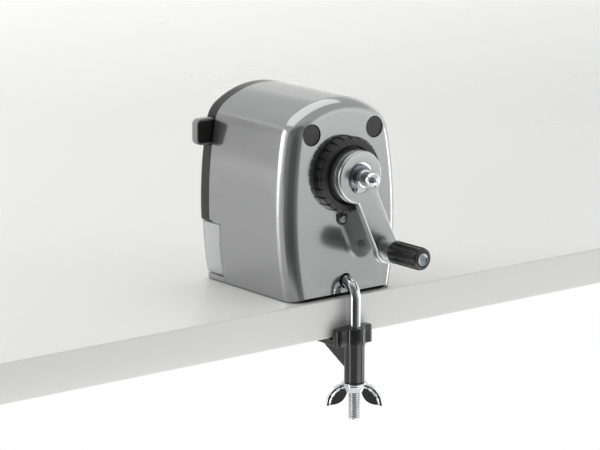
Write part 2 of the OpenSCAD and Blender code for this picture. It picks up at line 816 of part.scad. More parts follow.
module centring_pinion() {
    color(brass) translate([0, layer_a, pads_z]) rotate([-90, 0, 0]) difference() {
        linear_extrude(layer_b + slide_t - layer_a)
            gear_2d(centring_teeth, rack_r - 0.75, rack_r + 0.45, 13, 4.5);
        translate([0, 0, -1]) cylinder(r = post_r + run, h = 8);
    }
}

module clamp_spring() {
    mid_y = (layer_a + layer_b + slide_t) / 2;
    color(steel) translate([-spring_x + 0.05, mid_y, spring_z]) rotate([0, 90, 0])
        coil(1.5, 0.25, 2 * spring_x - 0.1, 10);
}

// ---------- shavings drawer ----------

module shavings_drawer() {
    inner_w = half_width(0) - wall - 0.7;
    low = floor_z + 0.3;
    outer_w = half_width(drawer_z);
    color([0.9, 0.92, 0.93, 0.5]) difference() {
        union() {
            translate([-inner_w, drawer_front, low])
                cube([2 * inner_w, notch_y - drawer_front + 1, drawer_z - low - 1.6]);
            intersection() {
                outline_slab(notch_y - 5, drawer_back, 0);
                behind_notch(gap);
                translate([0, 0, low]) linear_extrude(drawer_z - low) {
                    translate([-outer_w - 1, -casing_d])
                        square([2 * outer_w + 2, casing_d + drawer_back - lip_r]);
                    translate([-outer_w + lip_r, 0]) square([2 * (outer_w - lip_r), drawer_back]);
                    for (x = [-outer_w + lip_r, outer_w - lip_r])
                        translate([x, drawer_back - lip_r]) circle(r = lip_r);
                }
            }
        }
        translate([-inner_w + drawer_wall, drawer_front + drawer_wall, low + drawer_wall])
            cube([2 * (inner_w - drawer_wall), drawer_back - drawer_front - 2 * drawer_wall, drawer_z]);
    }
}

// ---------- table clamp ----------

module clamp_rod() {
    color(steel) {
        bar_y(0, socket_z, front_y, cavity_y + socket_len - 2, clamp_r);
        translate([0, front_y, socket_z - bend_r]) rotate([90, 0, -90])
            rotate_extrude(angle = 90) translate([bend_r, 0]) circle(r = clamp_r);
        translate([0, rod_axis_y, thread_end]) {
            cylinder(r1 = clamp_r - 0.8, r2 = clamp_r, h = 0.8);
            translate([0, 0, 0.8]) cylinder(r = clamp_r, h = socket_z - bend_r - thread_end - 0.8);
        }
    }
}

module clamp_bracket() {
    block_z = sleeve_top - 8.7;
    jaw_t = 3;
    color(black) difference() {
        union() {
            translate([0, rod_axis_y, sleeve_low]) cylinder(r = sleeve_r, h = sleeve_len);
            translate([0, 0, block_z]) linear_extrude(sleeve_top - block_z) {
                translate([-bracket_w / 2 + 3, rod_axis_y - 2])
                    square([bracket_w - 6, block_back - rod_axis_y + 2]);
                for (x = [-1, 1]) translate([x * (bracket_w / 2 - 3), block_back - 3]) circle(r = 3);
                for (x = [-1, 1]) translate([x * (bracket_w / 2 - 1.5) - 1.5, block_back - 3]) square([3, 3]);
            }
            translate([-bracket_w / 2, block_back - 3, -table_t - 0.6 - jaw_t])
                cube([bracket_w, jaw_reach - 5, jaw_t]);
            translate([2.2, 0, 0]) rotate([90, 0, -90]) linear_extrude(4.4)
                polygon([[-rod_axis_y, sleeve_low + 4], [-rod_axis_y, -table_t - 1],
                         [-jaw_end, -table_t - 1], [-jaw_end, -table_t - 5]]);
        }
        translate([0, rod_axis_y, sleeve_low - 1]) cylinder(r = clamp_r + bracket_clear, h = sleeve_len + 2);
    }
}

module bracket_pad() {
    color("#3b3b3b") translate([-bracket_w / 2 + 1, block_back + 1, -table_t - 0.6])
        cube([bracket_w - 2, jaw_reach - 10, 0.6]);
}

module wing_nut() {
    wing_t = 1.6;
    tip_r = 3.2;
    color(steel) translate([0, rod_axis_y, nut_top - nut_h]) rotate(wing_turn) difference() {
        union() {
            cylinder(r1 = 4, r2 = 5.4, h = nut_h);
            for (s = [-1, 1]) hull() {
                translate([s * 4.2, wing_t / 2, nut_h - 3]) rotate([90, 0, 0]) cylinder(r = 2.4, h = wing_t);
                translate([s * (wing_span / 2 - tip_r), wing_t / 2, nut_h - wing_drop + tip_r])
                    rotate([90, 0, 0]) cylinder(r = tip_r, h = wing_t);
            }
        }
        translate([0, 0, -5]) cylinder(r = clamp_r + run, h = nut_h + 10);
    }
}

module clamp_washer() {
    color(steel) translate([0, rod_axis_y, nut_top]) difference() {
        cylinder(r = 6, h = washer_t - 0.1);
        translate([0, 0, -1]) cylinder(r = clamp_r + 0.2, h = washer_t + 2);
    }
}

casing_shell();
base_plate();
base_pad();
guide_plug_left();
guide_plug_right();
index_plate();
index_screw();
shaft_bush();
ring_gear();
gear_screws();
rear_bulkhead();
frame_posts();
frame_screws();
guide_tube_left();
guide_tube_right();
clamp_socket();
bearing_sleeve();
adjuster_ring();
drive_shaft();
carrier_hub();
carrier_bars();
carrier_ring();
cutter_pin();
crank_arm();
shaft_circlip();
knob_axle();
helical_cutter();
cutter_pinion();
crank_knob();
carriage_plate();
jaw_cover();
cover_screws();
pencil_guide();
centring_post();
guide_rod_left();
guide_rod_right();
feed_spring_left();
feed_spring_right();
left_slider();
left_finger_pad();
left_jaw();
right_slider();
right_finger_pad();
right_jaw();
centring_pinion();
clamp_spring();
shavings_drawer();
clamp_rod();
clamp_bracket();
bracket_pad();
wing_nut();
clamp_washer();
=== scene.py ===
import json
import math

import bmesh
import bpy
import numpy as np
from bpy.props import FloatProperty, FloatVectorProperty, IntProperty, PointerProperty
from mathutils.geometry import delaunay_2d_cdt
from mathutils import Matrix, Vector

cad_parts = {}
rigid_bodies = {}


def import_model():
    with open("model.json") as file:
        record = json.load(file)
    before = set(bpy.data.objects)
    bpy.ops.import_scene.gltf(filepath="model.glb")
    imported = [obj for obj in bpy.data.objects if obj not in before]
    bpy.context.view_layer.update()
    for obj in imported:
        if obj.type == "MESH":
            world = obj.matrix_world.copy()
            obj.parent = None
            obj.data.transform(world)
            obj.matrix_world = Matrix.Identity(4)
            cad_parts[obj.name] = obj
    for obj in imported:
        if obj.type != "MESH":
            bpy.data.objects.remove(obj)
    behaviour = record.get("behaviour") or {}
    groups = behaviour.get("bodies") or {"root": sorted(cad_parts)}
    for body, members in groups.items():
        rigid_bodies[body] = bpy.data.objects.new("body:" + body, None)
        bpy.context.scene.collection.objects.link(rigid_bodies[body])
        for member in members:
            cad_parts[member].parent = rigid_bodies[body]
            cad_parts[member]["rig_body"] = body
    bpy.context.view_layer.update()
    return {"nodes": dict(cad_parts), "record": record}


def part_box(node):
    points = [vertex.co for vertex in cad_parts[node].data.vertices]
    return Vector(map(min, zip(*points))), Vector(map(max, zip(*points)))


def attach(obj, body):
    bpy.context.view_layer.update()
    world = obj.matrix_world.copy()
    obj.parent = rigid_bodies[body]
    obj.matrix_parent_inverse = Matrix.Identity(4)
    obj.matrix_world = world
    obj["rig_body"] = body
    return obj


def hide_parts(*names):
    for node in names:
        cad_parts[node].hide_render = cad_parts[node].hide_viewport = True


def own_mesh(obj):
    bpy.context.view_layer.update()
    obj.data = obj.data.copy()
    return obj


bl_info = {
    "name": "Hand-crank pencil sharpener",
    "version": (1, 0, 0),
    "blender": (4, 5, 0),
    "location": "View3D > Sidebar > Sharpener",
    "description": "Builds the visible skin, finishes and stage of a table-clamp pencil sharpener",
    "category": "Add Mesh",
}

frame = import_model()
MM = 0.001
TAU = 2 * math.pi


def linear(code):
    """Turns an sRGB hex code into linear red, green, blue and a full alpha."""
    rgb = np.array([int(code[i:i + 2], 16) for i in (1, 3, 5)]) / 255
    rgb = np.where(rgb <= 0.04045, rgb / 12.92, ((rgb + 0.055) / 1.055) ** 2.4)
    return (*rgb.tolist(), 1.0)


def reach(node):
    """The lowest and highest corners of a CAD node, as arrays in metres."""
    low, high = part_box(node)
    return np.array(low), np.array(high)


# ---------- places taken from the frame ----------

casing_low, casing_high = reach("casing_shell")
plate_low, plate_high = reach("carriage_plate")
ring_low, ring_high = reach("adjuster_ring")
arm_high = reach("crank_arm")[1]
knob_low, knob_high = reach("crank_knob")
axle_low, axle_high = reach("knob_axle")
shaft_low, shaft_high = reach("drive_shaft")
drawer_low, drawer_high = reach("shavings_drawer")
rod_low, rod_high = reach("clamp_rod")
bracket_low, bracket_high = reach("clamp_bracket")
nut_high = reach("wing_nut")[1]
washer_low, washer_high = reach("clamp_washer")
guide_low, guide_high = reach("pencil_guide")

CRANK_Z = (ring_low[2] + ring_high[2]) / 2
KNOB_X = (knob_low[0] + knob_high[0]) / 2
KNOB_Z = (knob_low[2] + knob_high[2]) / 2
ARM_DROP = math.hypot(KNOB_X, CRANK_Z - KNOB_Z)
ARM_ANGLE = math.atan2(KNOB_Z - CRANK_Z, KNOB_X)
ROD_Y = (washer_low[1] + washer_high[1]) / 2
PAD_TOP = reach("base_pad")[1][2]
FRONT_Y = casing_low[1]


class CasingSizes(bpy.types.PropertyGroup):
    """Sizes of the casing, the carriage and the drawer"""
    waist: FloatProperty(name="Waist height", description="Height at which the casing is widest",
                         default=0.040, unit="LENGTH")
    side_r: FloatProperty(name="Side radius", description="Radius of the swelling sides",
                          default=0.208, unit="LENGTH")
    crown_r: FloatProperty(name="Crown radius", description="Radius of the crown",
                           default=0.045, unit="LENGTH")
    shoulder_r: FloatProperty(name="Shoulder radius", description="Radius of the shoulders",
                              default=0.014, unit="LENGTH")
    lean: FloatProperty(name="Face lean", description="Backward lean of the front face",
                        default=math.radians(1.5), subtype="ANGLE")
    edge_in: FloatProperty(name="Edge width", description="Sideways size of the rounded front edge",
                           default=0.007, unit="LENGTH")
    edge_back: FloatProperty(name="Edge depth", description="Depth of the rounded front edge",
                             default=0.009, unit="LENGTH")
    wall: FloatProperty(name="Casing wall", description="Thickness of the casing's wall",
                        default=0.0023, unit="LENGTH")
    notch: FloatProperty(name="Drawer notch", description="How far the notch for the drawer reaches in",
                         default=0.0074, unit="LENGTH")
    notch_lean: FloatProperty(name="Notch lean", description="Slant of the notch's edge",
                              default=math.radians(3.3), subtype="ANGLE")
    plug_x: FloatProperty(name="Plug offset", description="Half distance between the guide plugs",
                          default=0.0192, unit="LENGTH")
    plug_z: FloatProperty(name="Plug height", description="Height of the guide plugs",
                          default=0.081, unit="LENGTH")
    plug_r: FloatProperty(name="Plug radius", description="Radius of the guide plugs",
                          default=0.0053, unit="LENGTH")
    drawer_wall: FloatProperty(name="Drawer wall", description="Thickness of the drawer's wall",
                               default=0.0018, unit="LENGTH")


class DriveSizes(bpy.types.PropertyGroup):
    """Sizes of the crank, its knob and the point adjuster"""
    hub_r: FloatProperty(name="Hub radius", description="Radius of the crank's hub",
                         default=0.013, unit="LENGTH")
    arm_w: FloatProperty(name="Arm width", description="Width of the crank arm",
                         default=0.013, unit="LENGTH")
    arm_t: FloatProperty(name="Arm thickness", description="Thickness of the crank arm's plate",
                         default=0.0036, unit="LENGTH")
    shaft_r: FloatProperty(name="Shaft radius", description="Radius of the drive shaft",
                           default=0.0044, unit="LENGTH")
    nose_r: FloatProperty(name="Nose radius", description="Radius of the shaft's round nose",
                          default=0.004, unit="LENGTH")
    ribs: IntProperty(name="Adjuster ribs", description="Ribs round the adjuster ring", default=24)
    flutes: IntProperty(name="Knob flutes", description="Flutes round the knob", default=10)


class ClampSizes(bpy.types.PropertyGroup):
    """Sizes of the table clamp"""
    rod_r: FloatProperty(name="Rod radius", description="Radius of the clamp rod",
                         default=0.003, unit="LENGTH")
    pitch: FloatProperty(name="Thread pitch", description="Distance between turns of the thread",
                         default=0.001, unit="LENGTH")
    sleeve_r: FloatProperty(name="Sleeve radius", description="Radius of the bracket's sleeve",
                            default=0.00495, unit="LENGTH")
    jaw_t: FloatProperty(name="Jaw thickness", description="Thickness of the bracket's jaw",
                         default=0.003, unit="LENGTH")
    wing_turn: FloatProperty(name="Wing turn", description="Turn of the wing nut about the rod",
                             default=math.radians(-38), subtype="ANGLE")


def colour(name, description, code):
    """A colour property whose default is an sRGB hex code."""
    return FloatVectorProperty(name=name, description=description, subtype="COLOR", size=4,
                               min=0, max=1, default=linear(code))


class Finishes(bpy.types.PropertyGroup):
    """Colours of the sharpener's materials"""
    lacquer: colour("Lacquer", "Silver-grey lacquer of the casing", "#acadad")
    arm: colour("Arm lacquer", "Lacquer of the crank", "#b9baba")
    black: colour("Black plastic", "Black moulded plastic", "#282827")
    pad: colour("Grey plastic", "Grey caps of the finger pads", "#8e8e8e")
    clear: colour("Clear plastic", "Tint of the drawer", "#fbfcfc")
    chrome: colour("Chrome", "Plated steel", "#d9dadc")
    steel: colour("Steel", "Bright steel", "#b9bbbe")
    cutter: colour("Cutter steel", "Ground tool steel", "#8b8e92")
    brass: colour("Brass", "Turned brass", "#c9a45c")
    # Dark rubber of the pads; on the base pad this dark is also painted shadow along the casing's foot.
    rubber_and_painted_shadow: colour("Rubber", "Soft pads", "#242423")
    table: colour("Table", "Laminate of the table top", "#e6e6e5")


# ---------- materials ----------

def add(tree, kind, settings=None, links=None):
    """Adds a node. Settings name an input socket or, failing that, an attribute; links name sources."""
    node = tree.nodes.new(kind)
    for name, value in (settings or {}).items():
        if isinstance(name, int) or name in node.inputs:
            node.inputs[name].default_value = value
        else:
            setattr(node, name, value)
    for name, (source, output) in (links or {}).items():
        tree.links.new(source.outputs[output], node.inputs[name])
    return node


def finish(name, base, shade, patch, rough, grain, relief, sockets, stretch=(1, 1, 1)):
    """A procedural finish. base is the colour and shade how much darker its patches of size patch are;
    rough is the lowest and highest roughness; grain is the size of the surface's texture and relief its
    height; stretch scales the texture along X, Y and Z. Sizes are in metres."""
    material = bpy.data.materials.new(name)
    material.use_nodes = True
    tree = material.node_tree
    tree.nodes.clear()
    place = add(tree, "ShaderNodeTexCoord")
    turned = add(tree, "ShaderNodeMapping", {"Scale": stretch}, {"Vector": (place, "Object")})
    broad = add(tree, "ShaderNodeTexNoise", {"Scale": 1 / patch, "Detail": 3.0, "Roughness": 0.55},
                {"Vector": (place, "Object")})
    fine = add(tree, "ShaderNodeTexNoise", {"Scale": 1 / grain, "Detail": 2.0, "Roughness": 0.6},
               {"Vector": (turned, "Vector")})
    dark = tuple(channel * (1 - shade) for channel in base[:3]) + (1.0,)
    blend = add(tree, "ShaderNodeMath", {"operation": "MULTIPLY_ADD", 1: 0.5, 2: 0.0},
                {0: (fine, "Fac")})
    mixed = add(tree, "ShaderNodeMath", {"operation": "MULTIPLY_ADD", 1: 0.5},
                {0: (broad, "Fac"), 2: (blend, "Value")})
    tint = add(tree, "ShaderNodeMix", {"data_type": "RGBA", 6: dark, 7: tuple(base)},
               {0: (mixed, "Value")})
    gloss = add(tree, "ShaderNodeMapRange",
                {"From Min": 0.3, "From Max": 0.7, "To Min": rough[0], "To Max": rough[1]},
                {"Value": (broad, "Fac")})
    bump = add(tree, "ShaderNodeBump", {"Strength": 1.0, "Distance": relief},
               {"Height": (fine, "Fac")})
    shader = add(tree, "ShaderNodeBsdfPrincipled", sockets,
                 {"Base Color": (tint, 2), "Roughness": (gloss, "Result"), "Normal": (bump, "Normal")})
    add(tree, "ShaderNodeOutputMaterial", links={"Surface": (shader, "BSDF")})
    return material


materials = {}


def make_materials(tones):
    """Makes each finish once, named for the real material."""
    # Sprayed aluminium-flake lacquer under clear coat on a zinc casting: a grey metal sheen that blurs
    # what it reflects, with flakes drawn at 0.3 mm because real ones are too fine to show.
    materials["casing_paint"] = finish(
        "Flake_lacquer", tones.lacquer, 0.05, 30 * MM, (0.12, 0.16), 0.3 * MM, 0.0006 * MM,
        {"Metallic": 0.86, "Coat Weight": 0.35, "Coat Roughness": 0.05})
    # The same lacquer on the crank, a little lighter and softer from handling.
    materials["arm_metal"] = finish(
        "Handled_lacquer", tones.arm, 0.06, 12 * MM, (0.20, 0.28), 0.3 * MM, 0.0008 * MM,
        {"Metallic": 0.9, "Coat Weight": 0.3, "Coat Roughness": 0.08})
    # ABS from a spark-eroded mould: black with a fine even grain that spreads highlights.
    materials["black_plastic"] = finish(
        "Grained_black_abs", tones.black, 0.25, 9 * MM, (0.30, 0.40), 0.28 * MM, 0.006 * MM,
        {"IOR": 1.54, "Metallic": 0.0})
    # ABS from a polished mould: nearly black with sharp, slightly wavy reflections.
    materials["carriage_plastic"] = finish(
        "Polished_black_abs", tones.black, 0.2, 14 * MM, (0.14, 0.22), 0.9 * MM, 0.0012 * MM,
        {"IOR": 1.54, "Metallic": 0.0})
    # Knob of phenolic plastic, satin from the hand.
    materials["knob_plastic"] = finish(
        "Satin_black_phenolic", tones.black, 0.2, 6 * MM, (0.24, 0.34), 0.35 * MM, 0.003 * MM,
        {"IOR": 1.56, "Metallic": 0.0})
    # Light grey ABS of the finger pads, a soft satin.
    materials["pad_plastic"] = finish(
        "Satin_grey_abs", tones.pad, 0.07, 5 * MM, (0.30, 0.40), 0.3 * MM, 0.003 * MM,
        {"IOR": 1.54, "Metallic": 0.0})
    # Injection-moulded polystyrene: clear with a faint haze where shavings have rubbed it.
    materials["clear_plastic"] = finish(
        "Clear_polystyrene", tones.clear, 0.03, 12 * MM, (0.05, 0.16), 0.7 * MM, 0.0015 * MM,
        {"IOR": 1.59, "Transmission Weight": 0.7, "Metallic": 0.0})
    # Bright nickel-chrome plate: mirror-like with a faint orange peel.
    materials["chrome"] = finish(
        "Chrome_plate", tones.chrome, 0.03, 8 * MM, (0.05, 0.10), 0.8 * MM, 0.0008 * MM,
        {"Metallic": 1.0})
    # Zinc-plated pressed and turned steel: a dull grey shine with drawing marks along Y.
    materials["steel"] = finish(
        "Zinc_plated_steel", tones.steel, 0.16, 5 * MM, (0.26, 0.40), 0.25 * MM, 0.0015 * MM,
        {"Metallic": 1.0}, stretch=(1, 0.12, 1))
    # Ground tool steel: fine grinding lines across the flutes.
    materials["cutter_steel"] = finish(
        "Ground_tool_steel", tones.cutter, 0.2, 4 * MM, (0.22, 0.34), 0.2 * MM, 0.003 * MM,
        {"Metallic": 1.0}, stretch=(0.2, 1, 0.2))
    # Turned brass: warm metal with fine turning rings.
    materials["brass"] = finish(
        "Turned_brass", tones.brass, 0.12, 4 * MM, (0.18, 0.28), 0.2 * MM, 0.002 * MM,
        {"Metallic": 1.0}, stretch=(0.15, 1, 0.15))
    # Foamed rubber: matt and slightly rough. On the thin base pad under the casing this dark colour is also
    # painted shadow. It stands for the dark shadow line where the casing meets the table, together with the
    # real shade in the pad's inset gap.
    materials["base_rubber"] = finish(
        "Foamed_rubber_and_painted_shadow", tones.rubber_and_painted_shadow, 0.25, 6 * MM, (0.75, 0.88), 0.35 * MM, 0.03 * MM,
        {"IOR": 1.5, "Metallic": 0.0})
    # Melamine laminate of the table top: off-white with a faint sheen.
    materials["laminate"] = finish(
        "Melamine_laminate", tones.table, 0.01, 150 * MM, (0.27, 0.30), 40 * MM, 0.0001 * MM,
        {"IOR": 1.5, "Metallic": 0.0})


# ---------- meshes ----------

def grid(points, loop_rows=False, loop_columns=False, ends=False):
    """Joins rows x columns of points with four-sided faces. loop_rows and loop_columns join the last row
    or column to the first, and ends closes the first and last row with a face each."""
    rows, columns = points.shape[:2]
    r = np.arange(rows if loop_rows else rows - 1)
    c = np.arange(columns if loop_columns else columns - 1)
    r, c = np.meshgrid(r, c, indexing="ij")
    r_next, c_next = (r + 1) % rows, (c + 1) % columns
    corners = [r * columns + c, r * columns + c_next, r_next * columns + c_next, r_next * columns + c]
    faces = np.stack(corners, -1).reshape(-1, 4).tolist()
    if ends:
        faces.append(list(range(columns))[::-1])
        faces.append(list(range((rows - 1) * columns, rows * columns)))
    return points.reshape(-1, 3), faces


def new_mesh(name, parts):
    """One mesh from several sets of points and faces, with shared points merged and faces outwards."""
    vertices, faces, start = [], [], 0
    for points, part_faces in parts:
        vertices.append(points)
        faces.extend([[start + i for i in face] for face in part_faces])
        start += len(points)
    mesh = bpy.data.meshes.new(name)
    mesh.from_pydata(np.concatenate(vertices), [], faces)
    work = bmesh.new()
    work.from_mesh(mesh)
    bmesh.ops.remove_doubles(work, verts=work.verts, dist=0.002 * MM)
    bmesh.ops.dissolve_degenerate(work, edges=work.edges, dist=0.001 * MM)
    bmesh.ops.recalc_face_normals(work, faces=work.faces)
    work.to_mesh(mesh)
    work.free()
    count = len(mesh.polygons)
    normal, centre, area = np.zeros(3 * count), np.zeros(3 * count), np.zeros(count)
    mesh.polygons.foreach_get("normal", normal)
    mesh.polygons.foreach_get("center", centre)
    mesh.polygons.foreach_get("area", area)
    centre = centre.reshape(-1, 3)
    middle = (centre * area[:, None]).sum(0) / area.sum()
    if ((normal.reshape(-1, 3) * (centre - middle)).sum(1) * area).sum() < 0:
        mesh.flip_normals()
    return mesh


def settle(thing):
    """Replaces a thing's mesh with what its modifiers make of it."""
    bpy.context.view_layer.update()
    done = bpy.data.meshes.new_from_object(thing.evaluated_get(bpy.context.evaluated_depsgraph_get()))
    thing.modifiers.clear()
    thing.data = done


def carve(thing, parts, operation):
    """Joins other solids to a thing or cuts them out of it, exactly."""
    for part in parts:
        tool = bpy.data.objects.new("tool", new_mesh("tool", [part]))
        bpy.context.scene.collection.objects.link(tool)
        change = thing.modifiers.new("carve", "BOOLEAN")
        change.operation = operation
        change.solver = "EXACT"
        change.object = tool
        settle(thing)
        bpy.data.objects.remove(tool)


def piece(name, parts, finish_slot, body, replaced=(), wall=0.0, joined=(), cut=(), bevel=0.0,
          segments=2, angle=35):
    """Makes a piece from its surfaces: wall thickens them inwards, joined and cut are solids added to it
    and taken from it, bevel rounds its sharp edges. It rides on a body and stands for CAD nodes."""
    thing = bpy.data.objects.new(name, new_mesh(name, parts))
    bpy.context.scene.collection.objects.link(thing)
    if wall:
        shell = thing.modifiers.new("wall", "SOLIDIFY")
        shell.thickness = wall
        shell.offset = -1
        settle(thing)
    carve(thing, joined, "UNION")
    carve(thing, cut, "DIFFERENCE")
    thing.data.shade_smooth()
    if bevel:
        edge = thing.modifiers.new("edge", "BEVEL")
        edge.width = bevel
        edge.segments = segments
        edge.limit_method = "ANGLE"
        edge.angle_limit = math.radians(angle)
        edge.harden_normals = True
        settle(thing)
    else:
        thing.data.set_sharp_from_angle(angle=math.radians(angle))
    thing.data.materials.clear()
    thing.data.materials.append(materials[finish_slot])
    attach(thing, body)
    if replaced:
        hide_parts(*replaced)
    return thing


def smooth(x, low, high):
    """A smooth step from 0 at low to 1 at high."""
    t = np.clip((x - low) / (high - low), 0, 1)
    return t * t * (3 - 2 * t)


def round_off(corners, radii, steps=4):
    """A profile through its corners, each but the first and last replaced by an arc of its radius."""
    out = [corners[0]]
    for before, at, after, r in zip(corners, corners[1:], corners[2:], radii):
        if r <= 0:
            out.append(at)
            continue
        a = np.subtract(before, at) / np.linalg.norm(np.subtract(before, at))
        b = np.subtract(after, at) / np.linalg.norm(np.subtract(after, at))
        half = math.acos(np.clip(a @ b, -1, 1)) / 2
        centre = at + (a + b) / np.linalg.norm(a + b) * r / math.sin(half)
        first, last = at + a * r / math.tan(half), at + b * r / math.tan(half)
        t = np.linspace(0, 1, steps + 1)[:, None]
        chord = first * (1 - t) + last * t - centre
        out.extend(centre + chord / np.linalg.norm(chord, axis=1)[:, None] * r)
    out.append(corners[-1])
    return np.array(out)


def turned_points(profile, columns, centre, axis="y", change=None):
    """Turns a profile of (radius, place along the axis) about an axis through centre. change, when
    given, returns the radius for each (radius, place, angle)."""
    angle = np.arange(columns) * TAU / columns
    radius, along = np.broadcast_arrays(profile[:, :1], profile[:, 1:])
    radius = np.repeat(radius, columns, 1)
    along = np.repeat(along, columns, 1)
    if change:
        radius = change(radius, along, angle[None, :])
    a, b = radius * np.cos(angle), radius * np.sin(angle)
    if axis == "y":
        return np.stack([centre[0] + a, along, centre[1] + b], -1)
    return np.stack([centre[0] + a, centre[1] + b, along], -1)


def turned(corners, radii, columns, centre, axis="y", change=None, closed=True):
    """A turned solid: its corners are (radius, place) in millimetres, and radii round them off. A
    closed profile goes round a bore; an open one starts and ends on the axis."""
    profile = round_off(np.array(corners, float), radii) * MM
    return grid(turned_points(profile, columns, centre, axis, change), closed, True)


def drawn(outline, rows, place):
    """An outline carried along rows of (place along, inset), each inset drawn in square to the outline.
    place turns (u, v, along) into a point."""
    side = np.roll(outline, -1, 0) - np.roll(outline, 1, 0)
    normal = np.stack([side[:, 1], -side[:, 0]], -1) / np.linalg.norm(side, axis=1)[:, None]
    along, inset = np.array(rows, float).T
    flat = outline[None] - normal[None] * inset[:, None, None]
    return grid(place(flat[..., 0], flat[..., 1], np.broadcast_to(along[:, None], flat.shape[:2])),
                False, True, True)


def flat_xy(u, v, along):
    """Points of an outline that lies level, drawn upwards."""
    return np.stack([u, v, along], -1)


def flat_xz(u, v, along):
    """Points of an outline that faces the front, drawn along Y."""
    return np.stack([u, along, v], -1)


def flat_yz(u, v, along):
    """Points of an outline seen from the side, drawn along X."""
    return np.stack([along, u, v], -1)


def edge_rows(low, high, r_low, r_high, steps=4):
    """Rows of (place, inset) from low to high, with both ends rounded by a quarter circle."""
    a = np.linspace(0, math.pi / 2, steps + 1)
    first = np.stack([low + r_low * (1 - np.cos(a)), r_low * (1 - np.sin(a))], -1)
    last = np.stack([high - r_high * (1 - np.cos(a)), r_high * (1 - np.sin(a))], -1)[::-1]
    return np.concatenate([first, last])


def slab(u0, u1, v0, v1, r, steps=6):
    """A rectangle with rounded corners, as a closed outline drawn anticlockwise."""
    a = np.linspace(0, math.pi / 2, steps + 1)
    arcs = [(u1 - r, v0 + r, -math.pi / 2), (u1 - r, v1 - r, 0), (u0 + r, v1 - r, math.pi / 2),
            (u0 + r, v0 + r, math.pi)]
    return np.concatenate([np.stack([cu + r * np.cos(a + s), cv + r * np.sin(a + s)], -1)
                           for cu, cv, s in arcs])


# ---------- casing outline ----------

def touch(a, ra, b, rb):
    """The upper point where two circles meet."""
    gap = b - a
    d = np.linalg.norm(gap)
    along = (ra * ra - rb * rb + d * d) / (2 * d)
    off = math.sqrt(ra * ra - along * along)
    ways = [a + gap * along / d + s * off * np.array([-gap[1], gap[0]]) / d for s in (1, -1)]
    return max(ways, key=lambda p: p[1])


def outline_arcs(sizes):
    """The right half of the casing's outline: centre, radius and first and last angle of its side,
    shoulder and crown, each touching the next."""
    half, height = casing_high[0], casing_high[2]
    side = np.array([half - sizes.side_r, sizes.waist])
    crown = np.array([0, height - sizes.crown_r])
    bend = touch(side, sizes.side_r - sizes.shoulder_r, crown, sizes.crown_r - sizes.shoulder_r)
    low = math.asin((PAD_TOP - sizes.waist) / sizes.side_r)
    mid = math.atan2(*(bend - side)[::-1])
    top = math.atan2(*(bend - crown)[::-1])
    return [(side, sizes.side_r, low, mid), (bend, sizes.shoulder_r, mid, top),
            (crown, sizes.crown_r, top, math.pi / 2)]


def outline_at(arcs, insets, stops=(), counts=(34, 18, 22), foot=None):
    """The outline at each inset, from the right foot over the crown to the left foot, with points on the
    side at the stop heights. foot, when given, is the height at which it starts instead."""
    rows = []
    for number, ((cx, cz), r, first, last) in enumerate(arcs):
        if number == 0 and foot is not None:
            first = math.asin((foot - cz) / r)
        angles = np.linspace(first, last, counts[number])
        if number == 0:
            marks = [math.asin((z - cz) / r) for z in stops]
            angles = np.unique(np.concatenate([angles, marks]).round(9))
        reach_r = r - np.asarray(insets, float)[:, None]
        rows.append(np.stack([cx + reach_r * np.cos(angles), cz + reach_r * np.sin(angles)], -1)
                    [:, (1 if number else 0):])
    right = np.concatenate(rows, 1)
    left = right[:, -2::-1] * [-1, 1]
    return np.concatenate([right, left], 1)


def sheet(boundary, holes, spacing, place):
    """A flat face inside a boundary with round holes (u, v, radius), filled with triangles over a
    lattice of the given spacing. place turns (u, v) into a point."""
    low, high = boundary.min(0), boundary.max(0)
    u, v = np.meshgrid(np.arange(low[0], high[0], spacing), np.arange(low[1], high[1], spacing))
    inner = np.stack([u.ravel(), v.ravel()], -1)
    edge = np.roll(boundary, -1, 0) - boundary
    gap = inner[:, None] - boundary[None]
    crosses = ((boundary[None, :, 1] > inner[:, None, 1])
               != (np.roll(boundary, -1, 0)[None, :, 1] > inner[:, None, 1]))
    slope = gap[..., 1] / np.where(edge[:, 1] == 0, 1e-12, edge[:, 1])[None]
    inside = (crosses & (inner[:, None, 0] < boundary[None, :, 0] + slope * edge[None, :, 0])).sum(1) % 2
    t = np.clip((gap * edge).sum(-1) / np.maximum((edge * edge).sum(-1), 1e-15), 0, 1)
    away = np.linalg.norm(gap - t[..., None] * edge[None], axis=-1).min(1)
    keep = (inside == 1) & (away > spacing * 0.6)
    angle = np.arange(64) * TAU / 64
    rings = []
    for cu, cv, r in holes:
        keep &= np.linalg.norm(inner - [cu, cv], axis=1) > r + spacing * 0.6
        rings.append(np.stack([cu + r * np.cos(angle), cv + r * np.sin(angle)], -1))
    loops = [boundary] + rings
    edges, start = [], 0
    for loop in loops:
        edges += [(start + i, start + (i + 1) % len(loop)) for i in range(len(loop))]
        start += len(loop)
    points = np.concatenate(loops + [inner[keep]])
    filled = delaunay_2d_cdt(points.tolist(), edges, [], 1, 1e-7)
    spots = np.array([tuple(p) for p in filled[0]])
    faces = np.array([list(f) for f in filled[2]])
    middle = spots[faces].mean(1)
    solid = np.ones(len(faces), bool)
    for cu, cv, r in holes:
        solid &= np.linalg.norm(middle - [cu, cv], axis=1) > r
    return place(spots[:, 0], spots[:, 1]), faces[solid].tolist()


# ---------- pieces ----------

def leaning(sizes, x, depth, z):
    """Points at a depth behind the leaning front face, kept above the base pad."""
    y = FRONT_Y + depth * math.cos(sizes.lean) + z * math.sin(sizes.lean)
    height = z * math.cos(sizes.lean) - depth * math.sin(sizes.lean)
    return np.stack([x, y, np.maximum(height, PAD_TOP)], -1)


def on_face(sizes, part, x, z):
    """Tilts a part with the front face and moves it from the origin to a place on the face."""
    points, faces = part
    c, s = math.cos(sizes.lean), math.sin(sizes.lean)
    tilted = np.stack([points[:, 0], points[:, 1] * c + points[:, 2] * s,
                       points[:, 2] * c - points[:, 1] * s], -1)
    return tilted + leaning(sizes, np.array([x]), np.array([0.0]), np.array([z]))[0], faces


